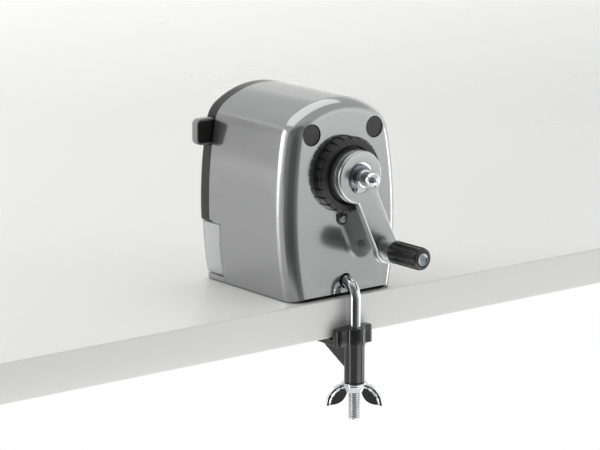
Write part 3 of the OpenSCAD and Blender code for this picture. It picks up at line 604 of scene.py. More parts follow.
class SHARPENER_OT_casing(bpy.types.Operator):
    """Builds the lacquered casing with its rounded front edge, openings and guide plugs"""
    bl_idname = "sharpener.casing"
    bl_label = "Casing"

    def execute(self, context):
        sizes = context.scene.casing_sizes
        arcs = outline_arcs(sizes)
        rear = casing_high[1]
        notch_top = drawer_high[2] + 1.3 * MM
        # Front edge: a quarter ellipse, inset = edge_in (1 - sin a), depth = edge_back (1 - cos a)
        a = np.linspace(0, math.pi / 2, 15)[:, None]
        insets = sizes.edge_in * (1 - np.sin(a[:, 0]))
        rows = outline_at(arcs, insets, [notch_top])
        depth = np.broadcast_to(sizes.edge_back * (1 - np.cos(a)), rows.shape[:2])
        edge = leaning(sizes, rows[..., 0], depth, rows[..., 1])
        # Sides: straight from the rounded edge to the notch's slanting line, and above it to the rear
        x, z = rows[-1].T
        line = rear - sizes.notch - np.minimum(z, notch_top) * math.tan(sizes.notch_lean)
        notch_row = np.stack([x, line, z], -1)
        t = np.linspace(0, 1, 5)[1:, None, None]
        sides = edge[-1:] * (1 - t) + notch_row[None] * t
        upper = z > notch_top - 0.001 * MM
        back = np.stack([x[upper], np.full(upper.sum(), rear), z[upper]], -1)
        t = np.linspace(0, 1, 4)[:, None, None]
        rear_band = notch_row[None, upper] * (1 - t) + back[None] * t

        def crowned(u, v):
            """The front face, which swells forwards by a third of a millimetre at its middle."""
            swell = np.clip(1 - (u / (29 * MM)) ** 2 - ((v - 46 * MM) / (48 * MM)) ** 2, 0, 1)
            return leaning(sizes, u, -0.33 * MM * swell, v)

        shaft_hole, rod_hole_z, rod_hole = 9 * MM, 7.7 * MM, 3.75 * MM
        face = sheet(rows[0], [(0, CRANK_Z, shaft_hole), (0, rod_hole_z, rod_hole)], 2.5 * MM, crowned)
        r = sizes.plug_r / MM
        holes = [on_face(sizes, turned([(0, -5), (r, -5), (r, 6), (0, 6)], (0, 0), 64, (0, 0), closed=False),
                         x, sizes.plug_z) for x in (-sizes.plug_x, sizes.plug_x)]
        piece("casing_skin", [grid(np.concatenate([edge, sides])), grid(rear_band), face], "casing_paint",
              "casing", ["casing_shell"], wall=sizes.wall, cut=holes, bevel=0.35 * MM, angle=40)
        seat = ring_high[1] + 0.1 * MM
        piece("crank_boss", [turned([(9, seat / MM + 2), (14.9, seat / MM + 2), (14.9, seat / MM),
                                     (9, seat / MM), (9, seat / MM + 2)], (0, 0.3, 0.3),
                                    96, (0, CRANK_Z))], "casing_paint", "casing")
        for side, name in ((-1, "left"), (1, "right")):
            part = turned([(0, 0.5), (4.9, 0.45), (5.2, 0.7), (5.2, 1.9), (0, 1.9)], (0.3, 0.2, 0), 64,
                          (0, 0), closed=False)
            piece("plug_" + name, [on_face(sizes, part, side * sizes.plug_x, sizes.plug_z)],
                  "black_plastic", "casing", ["guide_plug_" + name])
        return {"FINISHED"}


class SHARPENER_OT_carriage(bpy.types.Operator):
    """Builds the black pencil carriage with its rounded rear edge, entry and finger pads"""
    bl_idname = "sharpener.carriage"
    bl_label = "Carriage"

    def execute(self, context):
        sizes = context.scene.casing_sizes
        arcs = outline_arcs(sizes)
        bottom, rear, front = plate_low[2], plate_high[1], plate_low[1]
        soft, corner = 3 * MM, 1.2 * MM
        a = np.linspace(0, math.pi / 2, 9)
        insets = np.concatenate([[0, 0, 0], soft * (1 - np.cos(a))])
        places = np.concatenate([[front, front + 2 * MM, front + 4 * MM], rear - soft * (1 - np.sin(a))])
        (cx, cz), r = arcs[0][:2]
        rows = []
        for inset in insets:
            # The lower corner keeps its centre while it can, and shrinks to a point after that
            full = max(corner, inset + 0.05 * MM)
            mid_z = bottom + full
            mid_x = cx + math.sqrt((r - full) ** 2 - (mid_z - cz) ** 2)
            turn = np.linspace(-math.pi / 2, math.atan2(mid_z - cz, mid_x - cx), 7)
            bend = np.stack([mid_x + (full - inset) * np.cos(turn),
                             mid_z + (full - inset) * np.sin(turn)], -1)
            over = outline_at(arcs, [inset], foot=mid_z)[0]
            base = np.linspace(-0.95, 0.95, 15)[:, None] * [mid_x, 0] + [0, bottom + inset]
            rows.append(np.concatenate([bend[:-1], over, (bend * [-1, 1])[-2::-1], base]))
        rows = np.array(rows)
        band = np.stack([rows[..., 0], np.broadcast_to(places[:, None], rows.shape[:2]), rows[..., 1]], -1)
        entry_r = 8.75 * MM
        back = sheet(rows[-1], [(0, CRANK_Z, entry_r)], 5 * MM,
                     lambda u, v: np.stack([u, np.full(len(u), rear), v], -1))
        pad_low, pad_high = reach("left_finger_pad")
        play = 0.4 * MM
        slits = [slab(s * 20 * MM, s * 50 * MM, pad_low[2] - play, pad_high[2] + play, play)
                 for s in (-1, 1)]
        slots = [grid(np.stack([flat_xz(*slit.T, np.full(len(slit), y))
                                for y in (front - 9 * MM, pad_high[1] + play)]), False, True, True)
                 for slit in slits]
        piece("carriage_cover", [grid(band, False, True), back], "carriage_plastic", "carriage",
              ["carriage_plate"], wall=2 * MM, cut=slots, bevel=0.3 * MM, angle=40)
        # Pencil entry: a flanged eyelet with a flared mouth
        g0, g1 = guide_low[1] / MM, guide_high[1] / MM
        piece("pencil_eyelet", [turned(
            [(6.25, g0), (8.7, g0), (8.7, g1 - 0.8), (10.25, g1 - 0.8), (10.25, g1), (7.4, g1),
             (6.25, g1 - 1.4), (6.25, g0)], (0.2, 0, 0, 0.35, 0.3, 0.8), 96, (0, CRANK_Z))],
            "black_plastic", "carriage", ["pencil_guide"])
        for side, name in ((-1, "left"), (1, "right")):
            low, high = reach(name + "_finger_pad")
            inner = low[0] if side > 0 else high[0]
            outer = high[0] if side > 0 else low[0]
            u0, u1 = min(inner, outer), max(inner, outer)
            body = name + "_clamp"
            rim = slab(u0, u1, low[2], high[2], 2.8 * MM)
            piece(name + "_pad_cap", [drawn(rim, edge_rows(low[1] + 0.35 * MM, high[1], 0.3 * MM, 1.0 * MM),
                                            flat_xz)], "pad_plastic", body, [name + "_finger_pad"])
            inset = 0.55 * MM
            face = slab(u0 + inset, u1 - inset, low[2] + 1.0 * MM, high[2] - 1.0 * MM, 1.7 * MM)
            piece(name + "_pad_face", [drawn(face, edge_rows(low[1], low[1] + 1.2 * MM, 0.25 * MM, 0.1 * MM),
                                             flat_xz)], "carriage_plastic", body)
        return {"FINISHED"}


class SHARPENER_OT_drawer(bpy.types.Operator):
    """Builds the clear shavings drawer as one thin-walled tray"""
    bl_idname = "sharpener.drawer"
    bl_label = "Shavings drawer"

    def execute(self, context):
        sizes = context.scene.casing_sizes
        (cx, cz), r = outline_arcs(sizes)[0][:2]
        low, top, rear, front = drawer_low[2], drawer_high[2], drawer_high[1], drawer_low[1]
        narrow = cx + math.sqrt(r * r - cz * cz) - sizes.wall - 0.7 * MM
        corner, gap, soft = 3.5 * MM, 0.4 * MM, 1.5 * MM
        t = np.linspace(0, 1, 24)
        bottom = soft * (1 - np.cos(np.linspace(0, math.pi / 2, 6)))
        a = np.linspace(0, math.pi / 2, 12)
        rows = []
        for number, share in enumerate(np.concatenate([np.zeros(6), t[1:]])):
            inset = soft * (1 - math.sin(number / 5 * math.pi / 2)) if number < 6 else 0.0
            lift = bottom[number] if number < 6 else soft
            # Heights of the narrow front part and of the full-width rear part
            z_in = low + lift + share * (top - 1.6 * MM - low - soft)
            z_out = low + lift + share * (top - low - soft)
            wide = cx + math.sqrt(r * r - (z_out - cz) ** 2) - inset
            step = casing_high[1] - sizes.notch + gap - z_out * math.tan(sizes.notch_lean) + inset
            slim = narrow - inset
            side = np.linspace(front + inset + 3 * MM, step, 10)[:-1]
            round_in = 3 * MM - inset
            half = [np.stack([slim - round_in + round_in * np.sin(a[::3]),
                              front + 3 * MM - round_in * np.cos(a[::3]),
                              np.full(len(a[::3]), z_in)], -1),
                    np.stack([np.full(len(side), slim), side, np.full(len(side), z_in)], -1)[1:],
                    np.array([[slim, step, z_out], [wide - 0.3 * MM, step, z_out],
                              [wide, step + 0.3 * MM, z_out]]),
                    np.stack([wide - corner + (corner - inset) * np.cos(a) + inset,
                              rear - corner + (corner - inset) * np.sin(a),
                              np.full(len(a), z_out)], -1)]
            half = np.concatenate(half)
            rows.append(np.concatenate([half, half[::-1] * [-1, 1, 1]]))
        tray = grid(np.array(rows), False, True)
        floor = (tray[0], [list(range(len(rows[0])))])
        piece("clear_drawer", [tray, floor], "clear_plastic", "drawer", ["shavings_drawer"],
              wall=sizes.drawer_wall, bevel=0.3 * MM, angle=40)
        return {"FINISHED"}


class SHARPENER_OT_adjuster(bpy.types.Operator):
    """Builds the ribbed point adjuster ring round the crank"""
    bl_idname = "sharpener.adjuster"
    bl_label = "Point adjuster"

    def execute(self, context):
        ribs = context.scene.drive_sizes.ribs
        back, front = ring_high[1] / MM, ring_low[1] / MM
        rim, web = ring_high[0] / MM, back - 2

        def grooved(radius, along, angle):
            """Takes a narrow groove 0.7 mm deep out of the rim between each pair of ribs."""
            turn = (angle * ribs / TAU) % 1
            groove = smooth(np.abs(2 * turn - 1), 0.74, 0.9)
            return radius - 0.7 * MM * groove * smooth(radius, (rim - 1.4) * MM, (rim - 0.9) * MM)

        corners = [(7.3, back), (rim - 0.2, back), (rim, back - 0.4), (rim, front + 1.3), (rim - 1.2, front),
                   (14.5, front), (14.2, front + 0.4), (14.2, web), (7.3, web), (7.3, back)]
        piece("ribbed_ring", [turned(corners, (0.1, 0.2, 0.8, 0.7, 0.2, 0.2, 0.3, 0), ribs * 16,
                                     (0, CRANK_Z), change=grooved)],
              "black_plastic", "adjuster", ["adjuster_ring"])
        return {"FINISHED"}


def arm_outline(sizes):
    """The crank seen from the front: the hub's circle, and an arm with straight sides and a round end.
    Also gives how far each point is from the arm by its angle about the hub, from 0 to 1."""
    half, end_r, hub_r = sizes.arm_w / 2, sizes.arm_w / 2 + 0.5 * MM, sizes.hub_r
    leave = math.asin(half / hub_r)
    hub = np.linspace(leave, TAU - leave, 73)
    end_a = math.asin(half / end_r)
    run = np.linspace(hub_r * math.cos(leave), ARM_DROP - end_r * math.cos(end_a), 14)[1:-1]
    tip = np.linspace(-(math.pi - end_a), math.pi - end_a, 41)
    points = np.concatenate([
        np.stack([hub_r * np.cos(hub), hub_r * np.sin(hub)], -1),
        np.stack([run, np.full(len(run), -half)], -1),
        np.stack([ARM_DROP + end_r * np.cos(tip), end_r * np.sin(tip)], -1),
        np.stack([run[::-1], np.full(len(run), half)], -1)])
    far = np.concatenate([smooth(np.minimum(hub - leave, TAU - leave - hub), 0.05, 0.2),
                          np.zeros(len(points) - len(hub))])
    return points, far


class SHARPENER_OT_crank(bpy.types.Operator):
    """Builds the crank: hub and arm, drive shaft, retaining clip, knob and its axle"""
    bl_idname = "sharpener.crank"
    bl_label = "Crank"

    def execute(self, context):
        sizes = context.scene.drive_sizes
        front = reach("shaft_circlip")[1][1]
        back = arm_high[1]
        points, far = arm_outline(sizes)
        side = np.roll(points, -1, 0) - np.roll(points, 1, 0)
        normal = np.stack([side[:, 1], -side[:, 0]], -1) / np.linalg.norm(side, axis=1)[:, None]
        away = points / np.linalg.norm(points, axis=1)[:, None]
        thick, soft, bore = sizes.arm_t, 0.9 * MM, 4.45
        a = np.linspace(0, math.pi / 2, 6)
        # Rows from the recess round the shaft, over the front face and rounded edge, to the back
        rings = [(bore, 0.55), (7.5, 0.55), (7.7, 0.4), (7.7, 0.15), (7.85, 0)]
        rows = [np.concatenate([away * radius * MM, np.full((len(points), 1), y * MM)], 1)
                for radius, y in rings]
        shell = [(soft * (1 - math.sin(q)), soft * (1 - math.cos(q)), 0.0) for q in a]
        shell += [(0, 2.15 * MM, 0), (0, 2.3 * MM, 0.4 * MM), (0, 2.6 * MM, 0.4 * MM), (0, 2.75 * MM, 0),
                  (0, thick - 0.3 * MM, 0), (0.3 * MM, thick, 0)]
        rows += [np.concatenate([points - normal * (inset + groove * far)[:, None],
                                 np.full((len(points), 1), y)], 1)
                 for inset, y, groove in [(np.full(len(points), i), y, g) for i, y, g in shell]]
        rows.append(np.concatenate([away * bore * MM, np.full((len(points), 1), thick)], 1))
        rows = np.array(rows)
        c, s = math.cos(ARM_ANGLE), math.sin(ARM_ANGLE)
        arm = np.stack([rows[..., 0] * c - rows[..., 1] * s, front + rows[..., 2],
                        CRANK_Z + rows[..., 0] * s + rows[..., 1] * c], -1)
        piece("crank_plate", [grid(arm, True, True)], "arm_metal", "crank", ["crank_arm"], angle=42)
        f, b, r = front / MM, back / MM, sizes.hub_r / MM
        piece("crank_hub", [turned([(bore, f + 3.5), (r - 0.1, f + 3.5), (r - 0.1, b), (bore, b),
                                    (bore, f + 3.5)], (0.3, 0.6, 0), 120, (0, CRANK_Z))],
              "arm_metal", "crank")
        boss = f - 4.8
        piece("knob_spacer", [turned([(2, f + 0.3), (4.2, f + 0.3), (4.2, boss), (2, boss), (2, f + 0.3)],
                                     (0, 0.5, 0), 64, (KNOB_X, KNOB_Z))], "arm_metal", "crank")
        tip, nose = shaft_low[1] / MM, sizes.nose_r / MM
        ball = [(nose * math.sin(q), tip + nose * (1 - math.cos(q))) for q in np.linspace(0, 1.95, 18)]
        stem = [(3.7, ball[-1][1] + 0.2), (3.7, f - 3.5), (4.1, f - 3.4), (4.4, f - 3.1),
                (4.4, shaft_high[1] / MM), (0, shaft_high[1] / MM)]
        piece("shaft_and_nose", [turned(ball + stem, (0,) * (len(ball) + len(stem) - 2), 96, (0, CRANK_Z),
                                        closed=False)], "chrome", "crank", ["drive_shaft"], angle=30)
        # Retaining clip: a flat open ring whose ends swell into two eyes
        t = np.linspace(math.radians(-20), math.radians(250), 90)
        end = np.minimum(t - t[0], t[-1] - t)
        outer = (6.2 + 1.2 * smooth(-end, -0.42, -0.2)) * MM
        inner = (4.55 + 0.25 * smooth(-end, -0.42, -0.18)) * MM
        loops = [(inner + 0.12 * MM, 0.7), (inner, 0.58), (inner, 0.0), (outer, 0.0), (outer, 0.58),
                 (outer - 0.12 * MM, 0.7)]
        clip = np.array([np.stack([radius * np.cos(t), np.full(len(t), front - y * MM + 0.52 * MM),
                                   CRANK_Z + radius * np.sin(t)], -1) for radius, y in loops])
        eyes = [turned([(0, f - 3), (0.55, f - 3), (0.55, f + 3), (0, f + 3)], (0, 0), 24,
                       (6.2 * MM * math.cos(q), CRANK_Z + 6.2 * MM * math.sin(q)), closed=False)
                for q in (t[0] + 0.14, t[-1] - 0.14)]
        points, faces = grid(clip.transpose(1, 0, 2), False, True, True)
        piece("retaining_clip", [(points, faces)], "cutter_steel", "crank", ["shaft_circlip"], cut=eyes)
        # Knob: shallow flutes that fade out before its rounded ends
        k0, k1, kr = knob_high[1] / MM, knob_low[1] / MM, 5.6

        def fluted(radius, along, angle):
            """Takes round flutes 0.8 mm deep out of the grip."""
            turn = ((angle * sizes.flutes / TAU) % 1 - 0.5) * TAU / sizes.flutes * kr / 1.25
            flute = np.clip(1 - turn * turn, 0, 1)
            fade = smooth(along, (k1 + 0.5) * MM, (k1 + 1.8) * MM) * smooth(-along, -(k0 - 1.4) * MM,
                                                                            -(k0 - 2.4) * MM)
            return radius - 0.8 * MM * flute * fade * (radius > 5.2 * MM)

        steps = [(kr, y) for y in np.linspace(k0 - 1.3, k1 + 1.9, 12)]
        shape = ([(2.05, k0), (4.9, k0), (kr + 0.1, k0 - 0.7)] + steps
                 + [(kr, k1 + 1.6), (kr - 0.25, k1 + 0.7), (kr - 0.8, k1 + 0.15), (kr - 1.5, k1), (3.75, k1),
                    (3.55, k1 + 0.25), (3.55, k1 + 1.2), (2.05, k1 + 1.2), (2.05, k0)])
        piece("fluted_knob", [turned(shape, (0,) * (len(shape) - 2), sizes.flutes * 16, (KNOB_X, KNOB_Z),
                                     change=fluted)], "knob_plastic", "knob", ["crank_knob"], angle=50)
        e = axle_low[1] / MM
        piece("axle_rivet", [turned([(0, e + 0.45), (1.9, e + 0.35), (2.7, e), (3.3, e), (3.3, e + 1),
                                     (2, e + 1), (2, axle_high[1] / MM), (0, axle_high[1] / MM)],
                                    (0.8, 0.4, 0.25, 0.2, 0, 0.2), 64, (KNOB_X, KNOB_Z), closed=False)],
              "cutter_steel", "crank", ["knob_axle"])
        return {"FINISHED"}


class SHARPENER_OT_springs(bpy.types.Operator):
    """Builds the two feed springs and the spring between the grips"""
    bl_idname = "sharpener.springs"
    bl_label = "Springs"

    def execute(self, context):
        self.spring("feed_spring_left", 1, 9, 0.32 * MM, "carriage_pull", 0)
        self.spring("feed_spring_right", 1, 9, 0.32 * MM, "carriage_pull", 0)
        self.spring("clamp_spring", 0, 10, 0.25 * MM, "left_pad_press", 0.5)
        return {"FINISHED"}

    def spring(self, node, axis, turns, wire, joint, fixed):
        """Carries a circle of the wire's radius along a helix that closes up in its first and last turn.
        axis is the way it runs, and fixed places an anchor at that share of its length, which is not used."""
        low, high = reach(node)
        length, middle = (high - low)[axis], (low + high) / 2
        coil = (high - low)[2] / 2 - wire
        t = np.linspace(0, turns, turns * 28 + 1)
        closed = 2.1 * wire
        open_run = length - 2 * wire - 2 * closed
        along = wire + np.interp(t, [0, 1, turns - 1, turns], [0, closed, closed + open_run,
                                                                length - 2 * wire])
        q = np.arange(12) * TAU / 12
        radius = coil + wire * np.cos(q)[None]
        a, b = radius * np.cos(TAU * t)[:, None], radius * np.sin(TAU * t)[:, None]
        along = along[:, None] + wire * np.sin(q)[None]
        spots = [middle[0] + a, low[1] + along, middle[2] + b]
        if axis == 0:
            spots = [low[0] + along, middle[1] + a, middle[2] + b]
        body = frame["nodes"][node]["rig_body"]
        thing = piece(node + "_wire", [grid(np.stack(spots, -1), False, True, True)], "steel", body, [node],
                      angle=50)
        anchor = middle.copy()
        anchor[axis] = low[axis] + fixed * length
        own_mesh(thing)


class SHARPENER_OT_clamp(bpy.types.Operator):
    """Builds the table clamp: bent rod with its thread, bracket, washer and wing nut"""
    bl_idname = "sharpener.clamp"
    bl_label = "Table clamp"

    def execute(self, context):
        sizes = context.scene.clamp_sizes
        r, pitch = sizes.rod_r, sizes.pitch
        rod_z, bend = rod_high[2] - r, FRONT_Y - ROD_Y
        # Path of the rod in its plane: along Y, a quarter bend, and down
        inside = np.linspace(rod_high[1], FRONT_Y, 8)
        q = np.linspace(0, math.pi / 2, 22)[1:]
        plain_end = -30 * MM
        plain = np.linspace(rod_z - bend, plain_end, 12)[1:]
        thread = np.arange(plain_end, rod_low[2] + 0.01 * MM, -pitch / 10)[1:]
        y = np.concatenate([inside, FRONT_Y - bend * np.sin(q), np.full(len(plain) + len(thread), ROD_Y)])
        z = np.concatenate([np.full(len(inside), rod_z), rod_z - bend + bend * np.cos(q), plain, thread])
        slope = np.concatenate([np.zeros(len(inside)), q,
                                np.full(len(plain) + len(thread), math.pi / 2)])
        angle = np.arange(40) * TAU / 40
        # Thread: a slightly hollowed triangle wave that climbs one pitch a turn, and fades in below the
        # plain shank; the rod's end is drawn in
        wave = np.abs(2 * ((z[:, None] / pitch - angle[None] / TAU) % 1) - 1)
        thread_depth = 0.52 * MM
        begun = smooth(-z, -plain_end, -plain_end + 1.5 * MM) * (slope > 1.57)
        depth = thread_depth * begun[:, None]
        ends = 0.6 * MM * smooth(-z, -rod_low[2] - 0.7 * MM, -rod_low[2])[:, None]
        radius = r - 0.03 * MM - depth * wave ** 1.2 - ends
        across = radius * np.sin(angle)
        points = np.stack([radius * np.cos(angle), y[:, None] - across * np.sin(slope)[:, None],
                           z[:, None] + across * np.cos(slope)[:, None]], -1)
        piece("bent_rod", [grid(points, False, True, True)], "chrome", "clamp_rod", ["clamp_rod"], angle=60)
        self.bracket(sizes)
        self.nut(sizes)
        return {"FINISHED"}

    def bracket(self, sizes):
        """Moulded bracket: a sleeve with a collar, a block with two lobes, a jaw and a stiffening web."""
        top, low = bracket_high[2] / MM, bracket_low[2] / MM
        half, r, hole = bracket_high[0], sizes.sleeve_r / MM, sizes.rod_r / MM + 0.2
        collar = top - 8.8
        sleeve = turned([(hole, top), (r + 0.45, top), (r + 0.45, collar), (r, collar), (r, low), (hole, low),
                         (hole, top)], (0.5, 0.3, 0.15, 0.35, 0), 96, (0, ROD_Y), "z")
        block_back = -38.9 * MM
        block = drawn(slab(-half, half, block_back - 6.0 * MM, block_back, 2.4 * MM),
                      edge_rows(collar * MM, top * MM, 0.4 * MM, 1.0 * MM), flat_xy)
        jaw_top = reach("bracket_pad")[0][2]
        jaw_low = jaw_top - sizes.jaw_t
        jaw = drawn(slab(-half, half, block_back - 3 * MM, bracket_high[1], 2.5 * MM),
                    edge_rows(jaw_low, jaw_top, 0.5 * MM, 0.2 * MM), flat_xy)
        web_end = bracket_high[1] - 1 * MM
        web = np.array([[ROD_Y, low * MM + 4 * MM], [web_end, jaw_low - 1.2 * MM],
                        [web_end, jaw_low + 1 * MM], [ROD_Y, jaw_low + 1 * MM]])
        web = drawn(web, [(-2.2 * MM, 0), (2.2 * MM, 0)], flat_yz)
        bore = turned([(0, top + 3), (hole, top + 3), (hole, low - 3), (0, low - 3)], (0, 0), 64, (0, ROD_Y),
                      "z", closed=False)
        piece("moulded_bracket", [sleeve], "carriage_plastic", "clamp_jaw", ["clamp_bracket"],
              joined=[block, jaw, web], cut=[bore], bevel=0.25 * MM, angle=50)
        w0, w1 = washer_low[2] / MM, washer_high[2] / MM
        r = washer_high[0] / MM
        piece("plain_washer", [turned([(3.2, w0), (r, w0), (r, w1), (3.2, w1), (3.2, w0)], (0.15, 0.15, 0),
                                      64, (0, ROD_Y), "z")], "chrome", "clamp_jaw", ["clamp_washer"])

    def nut(self, sizes):
        """Pressed wing nut: each wing runs from an elliptic outer edge to a curved inner edge, thick along
        a rim 1.9 mm wide and thin in the web inside it."""
        top, span = nut_high[2], 13.75 * MM
        u = np.linspace(0, 1, 40)[:, None]
        v = np.concatenate([np.linspace(0, 0.12, 4), np.linspace(0.16, 0.6, 9), np.linspace(0.7, 1, 4)])
        a = math.radians(88) - u * math.radians(84)
        root, drop, rise = 4.0 * MM, 11.7 * MM, 11.6 * MM
        outer = np.stack([root + (span - root) * np.cos(a), top - drop + rise * np.sin(a)], -1)
        p0, p1, p2 = np.array([[3.4, -4.0], [4.6, -10.2], [10.6, -10.9]]) * MM
        inner = (1 - u) ** 2 * p0 + 2 * u * (1 - u) * p1 + u * u * p2 + [0, top]
        inner = inner[:, None, :]
        across = outer * (1 - v[None, :, None]) + inner * v[None, :, None]
        gone = np.linalg.norm(across - outer, axis=-1)
        web, rim = 0.45 * MM, 1.75 * MM
        half = web + rim * (1 - smooth(gone, 1.35 * MM, 2.1 * MM)) * smooth(gone, -0.9 * MM, 0.35 * MM)
        front = np.concatenate([across, half[..., None]], -1)
        rear = np.concatenate([across, -half[..., None]], -1)[:, ::-1]
        loop = np.concatenate([front, rear], 1)
        c, s = math.cos(sizes.wing_turn), math.sin(sizes.wing_turn)
        wings = []
        for way in (1, -1):
            h, w = loop[..., 0] * way, loop[..., 2] * way
            wings.append(grid(np.stack([h * c - w * s, ROD_Y + h * s + w * c, loop[..., 1]], -1), False, True,
                              True))
        t = top / MM
        hub = turned([(3.02, t), (4.9, t), (5.35, t - 0.9), (4.3, t - 3.4), (3.9, t - 4.1), (3.02, t - 4.1),
                      (3.02, t)], (0.4, 0.5, 0.5, 0.3, 0), 72, (0, ROD_Y), "z")
        bore = turned([(0, t + 3), (3.02, t + 3), (3.02, t - 20), (0, t - 20)], (0, 0), 64, (0, ROD_Y), "z",
                      closed=False)
        piece("pressed_wing_nut", [hub], "chrome", "wing_nut", ["wing_nut"], joined=wings, cut=[bore],
              angle=40)


class SHARPENER_OT_finishes(bpy.types.Operator):
    """Gives every CAD piece that stays the finish of its slot in the record"""
    bl_idname = "sharpener.finishes"
    bl_label = "Finishes of the inner pieces"

    def execute(self, context):
        for part in frame["record"]["subparts"]:
            thing = frame["nodes"][part["node"]]
            if not thing.material_slots:
                thing.data.materials.append(None)
            for holder in thing.material_slots:
                holder.material = materials[part["material_slot"]]
        return {"FINISHED"}


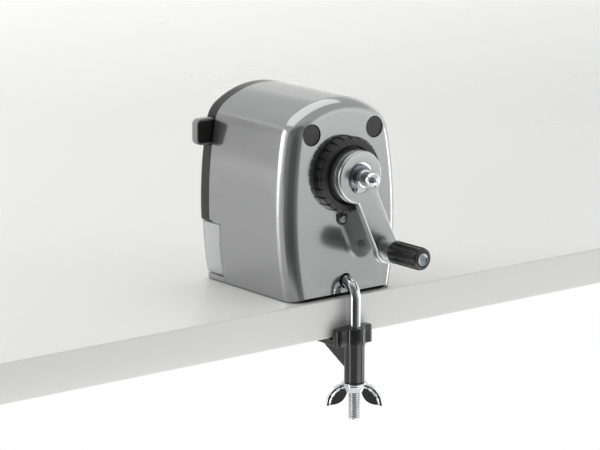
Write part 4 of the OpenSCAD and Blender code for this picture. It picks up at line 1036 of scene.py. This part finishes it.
class SHARPENER_OT_stage(bpy.types.Operator):
    """Builds the table top, the soft studio light and the camera"""
    bl_idname = "sharpener.stage"
    bl_label = "Stage"

    def execute(self, context):
        edge, far, high, wide, bend = -38.5 * MM, 1.6, 1.2, 2.6, 0.6
        thick = -reach("bracket_pad")[1][2]
        a = np.linspace(0, math.pi / 2, 20)
        q = np.linspace(0, math.pi / 2, 6)
        soft = 0.8 * MM
        profile = np.concatenate([
            [[0.9, -thick], [edge + soft, -thick]],
            np.stack([edge + soft - soft * np.sin(q), -thick + soft - soft * np.cos(q)], -1),
            np.stack([edge + soft - soft * np.cos(q), -soft + soft * np.sin(q)], -1),
            [[0.2, 0], [0.8, 0]],
            np.stack([far + bend * np.sin(a), bend - bend * np.cos(a)], -1), [[far + bend, high]]])
        rows = [np.stack([np.full(len(profile), x), *profile.T], -1) for x in np.linspace(-wide, wide, 15)]
        mesh = new_mesh("table_top", [grid(np.array(rows))])
        mesh.shade_smooth()
        mesh.set_sharp_from_angle(angle=math.radians(30))
        table = bpy.data.objects.new("table_top", mesh)
        table.data.materials.append(materials["laminate"])
        context.scene.collection.objects.link(table)
        self.lamp("overhead_softbox", (0, 0.9, 2.1), (0, 0.8, 0), 3.2, 2.2, 22)
        self.lamp("backdrop_wash", (0.7, 0.9, 1.3), (1.4, 2.4, 0.5), 2.4, 0.5, 14)
        self.lamp("left_strip", (-1.17, 0.79, 0.40), (0, 0, 0.3), 0.42, 0.76, 5)
        self.lamp("low_left_strip", (-1.2, 0.0, -0.42), (0, -0.04, -0.1), 0.12, 0.7, 2.5)
        self.lamp("low_right_softbox", (1.5, -0.42, -0.35), (0.15, 0, -0.02), 0.6, 0.6, 3)
        self.lamp("low_front_softbox", (0.5, -1.5, -1.1), (0.1, 0, 0), 1.5, 0.9, 9)
        world = bpy.data.worlds.new("Studio")
        world.use_nodes = True
        tree = world.node_tree
        tree.nodes.clear()
        # Pale walls and floor, a dimmer ceiling, and darkness where the camera stands
        way = add(tree, "ShaderNodeTexCoord")
        dot = add(tree, "ShaderNodeVectorMath", {"operation": "DOT_PRODUCT", 1: (-0.64, -0.76, -0.1)},
                  {0: (way, "Generated")})
        front = self.ramp(tree, (dot, "Value"), 0.36, 0.6, 1, 0.24)
        middle = self.ramp(tree, (dot, "Value"), 0.75, 0.96, 1, 0.3)
        ahead = add(tree, "ShaderNodeMath", {"operation": "MULTIPLY"},
                    {0: (front, "Result"), 1: (middle, "Result")})
        split = add(tree, "ShaderNodeSeparateXYZ", links={"Vector": (way, "Generated")})
        floor = self.ramp(tree, (split, "Z"), -0.26, -0.09, 0.65, 1.3)
        ceiling = self.ramp(tree, (split, "Z"), 0.3, 0.5, 1, 0.55)
        level = add(tree, "ShaderNodeMath", {"operation": "MULTIPLY"},
                    {0: (floor, "Result"), 1: (ceiling, "Result")})
        total = add(tree, "ShaderNodeMath", {"operation": "MULTIPLY"},
                    {0: (level, "Value"), 1: (ahead, "Value")})
        under = self.ramp(tree, (split, "Z"), -0.34, -0.5, 0, 1)
        room = add(tree, "ShaderNodeMath", {"operation": "MAXIMUM"},
                   {0: (total, "Value"), 1: (under, "Result")})
        sky = add(tree, "ShaderNodeBackground", {"Color": (1, 1, 1, 1)}, {"Strength": (room, "Value")})
        plain = add(tree, "ShaderNodeBackground", {"Color": (1, 1, 1, 1), "Strength": 1.0})
        rays = add(tree, "ShaderNodeLightPath")
        both = add(tree, "ShaderNodeMixShader",
                   links={0: (rays, "Is Camera Ray"), 1: (sky, "Background"), 2: (plain, "Background")})
        add(tree, "ShaderNodeOutputWorld", links={"Surface": (both, "Shader")})
        context.scene.world = world
        context.scene.view_settings.view_transform = "Standard"
        lens = bpy.data.cameras.new("studio_camera")
        lens.lens, lens.sensor_width, lens.clip_end = 151.8, 36, 100
        camera = bpy.data.objects.new("studio_camera", lens)
        camera.location = (-748.4 * MM, -962.6 * MM, 298.8 * MM)
        camera.rotation_euler = (math.radians(90 - 12.483), 0, math.radians(-37.879))
        context.scene.collection.objects.link(camera)
        context.scene.camera = camera
        return {"FINISHED"}

    def ramp(self, tree, source, start, end, value_start, value_end):
        """A clamped straight ramp from one value at start to another at end."""
        return add(tree, "ShaderNodeMapRange",
                   {"From Min": start, "From Max": end, "To Min": value_start, "To Max": value_end},
                   {"Value": source})

    def lamp(self, name, spot, aim, wide, tall, power):
        """A rectangular soft box at a spot, turned towards its aim."""
        light = bpy.data.lights.new(name, "AREA")
        light.shape, light.size, light.size_y, light.energy = "RECTANGLE", wide, tall, power
        lamp = bpy.data.objects.new(name, light)
        lamp.location = spot
        lamp.visible_camera = False
        gap = np.subtract(aim, spot)
        tilt = math.atan2(math.hypot(gap[0], gap[1]), -gap[2])
        lamp.rotation_euler = (tilt, 0, math.atan2(-gap[0], gap[1]))
        bpy.context.scene.collection.objects.link(lamp)


class SHARPENER_PT_panel(bpy.types.Panel):
    """Lists the pieces, the sizes and the colours"""
    bl_label = "Pencil sharpener"
    bl_idname = "SHARPENER_PT_panel"
    bl_space_type = "VIEW_3D"
    bl_region_type = "UI"
    bl_category = "Sharpener"

    def draw(self, context):
        for operator in OPERATORS:
            self.layout.operator(operator.bl_idname)
        for name in GROUPS:
            group = getattr(context.scene, name)
            for entry in group.__annotations__:
                self.layout.prop(group, entry)


GROUPS = {"casing_sizes": CasingSizes, "drive_sizes": DriveSizes, "clamp_sizes": ClampSizes,
          "finishes": Finishes}
OPERATORS = (SHARPENER_OT_finishes, SHARPENER_OT_casing, SHARPENER_OT_carriage, SHARPENER_OT_drawer,
             SHARPENER_OT_adjuster, SHARPENER_OT_crank, SHARPENER_OT_springs, SHARPENER_OT_clamp,
             SHARPENER_OT_stage)


def register():
    """Registers the property groups, operators and panel."""
    for name, group in GROUPS.items():
        bpy.utils.register_class(group)
        setattr(bpy.types.Scene, name, PointerProperty(type=group))
    for item in OPERATORS + (SHARPENER_PT_panel,):
        bpy.utils.register_class(item)


def unregister():
    """Takes away what register added."""
    for item in reversed(OPERATORS + (SHARPENER_PT_panel,)):
        bpy.utils.unregister_class(item)
    for name, group in GROUPS.items():
        delattr(bpy.types.Scene, name)
        bpy.utils.unregister_class(group)


def main():
    """Builds the whole sharpener."""
    register()
    make_materials(bpy.context.scene.finishes)
    for operator in OPERATORS:
        group, name = operator.bl_idname.split(".")
        getattr(getattr(bpy.ops, group), name)()


if __name__ == "__main__":
    main()
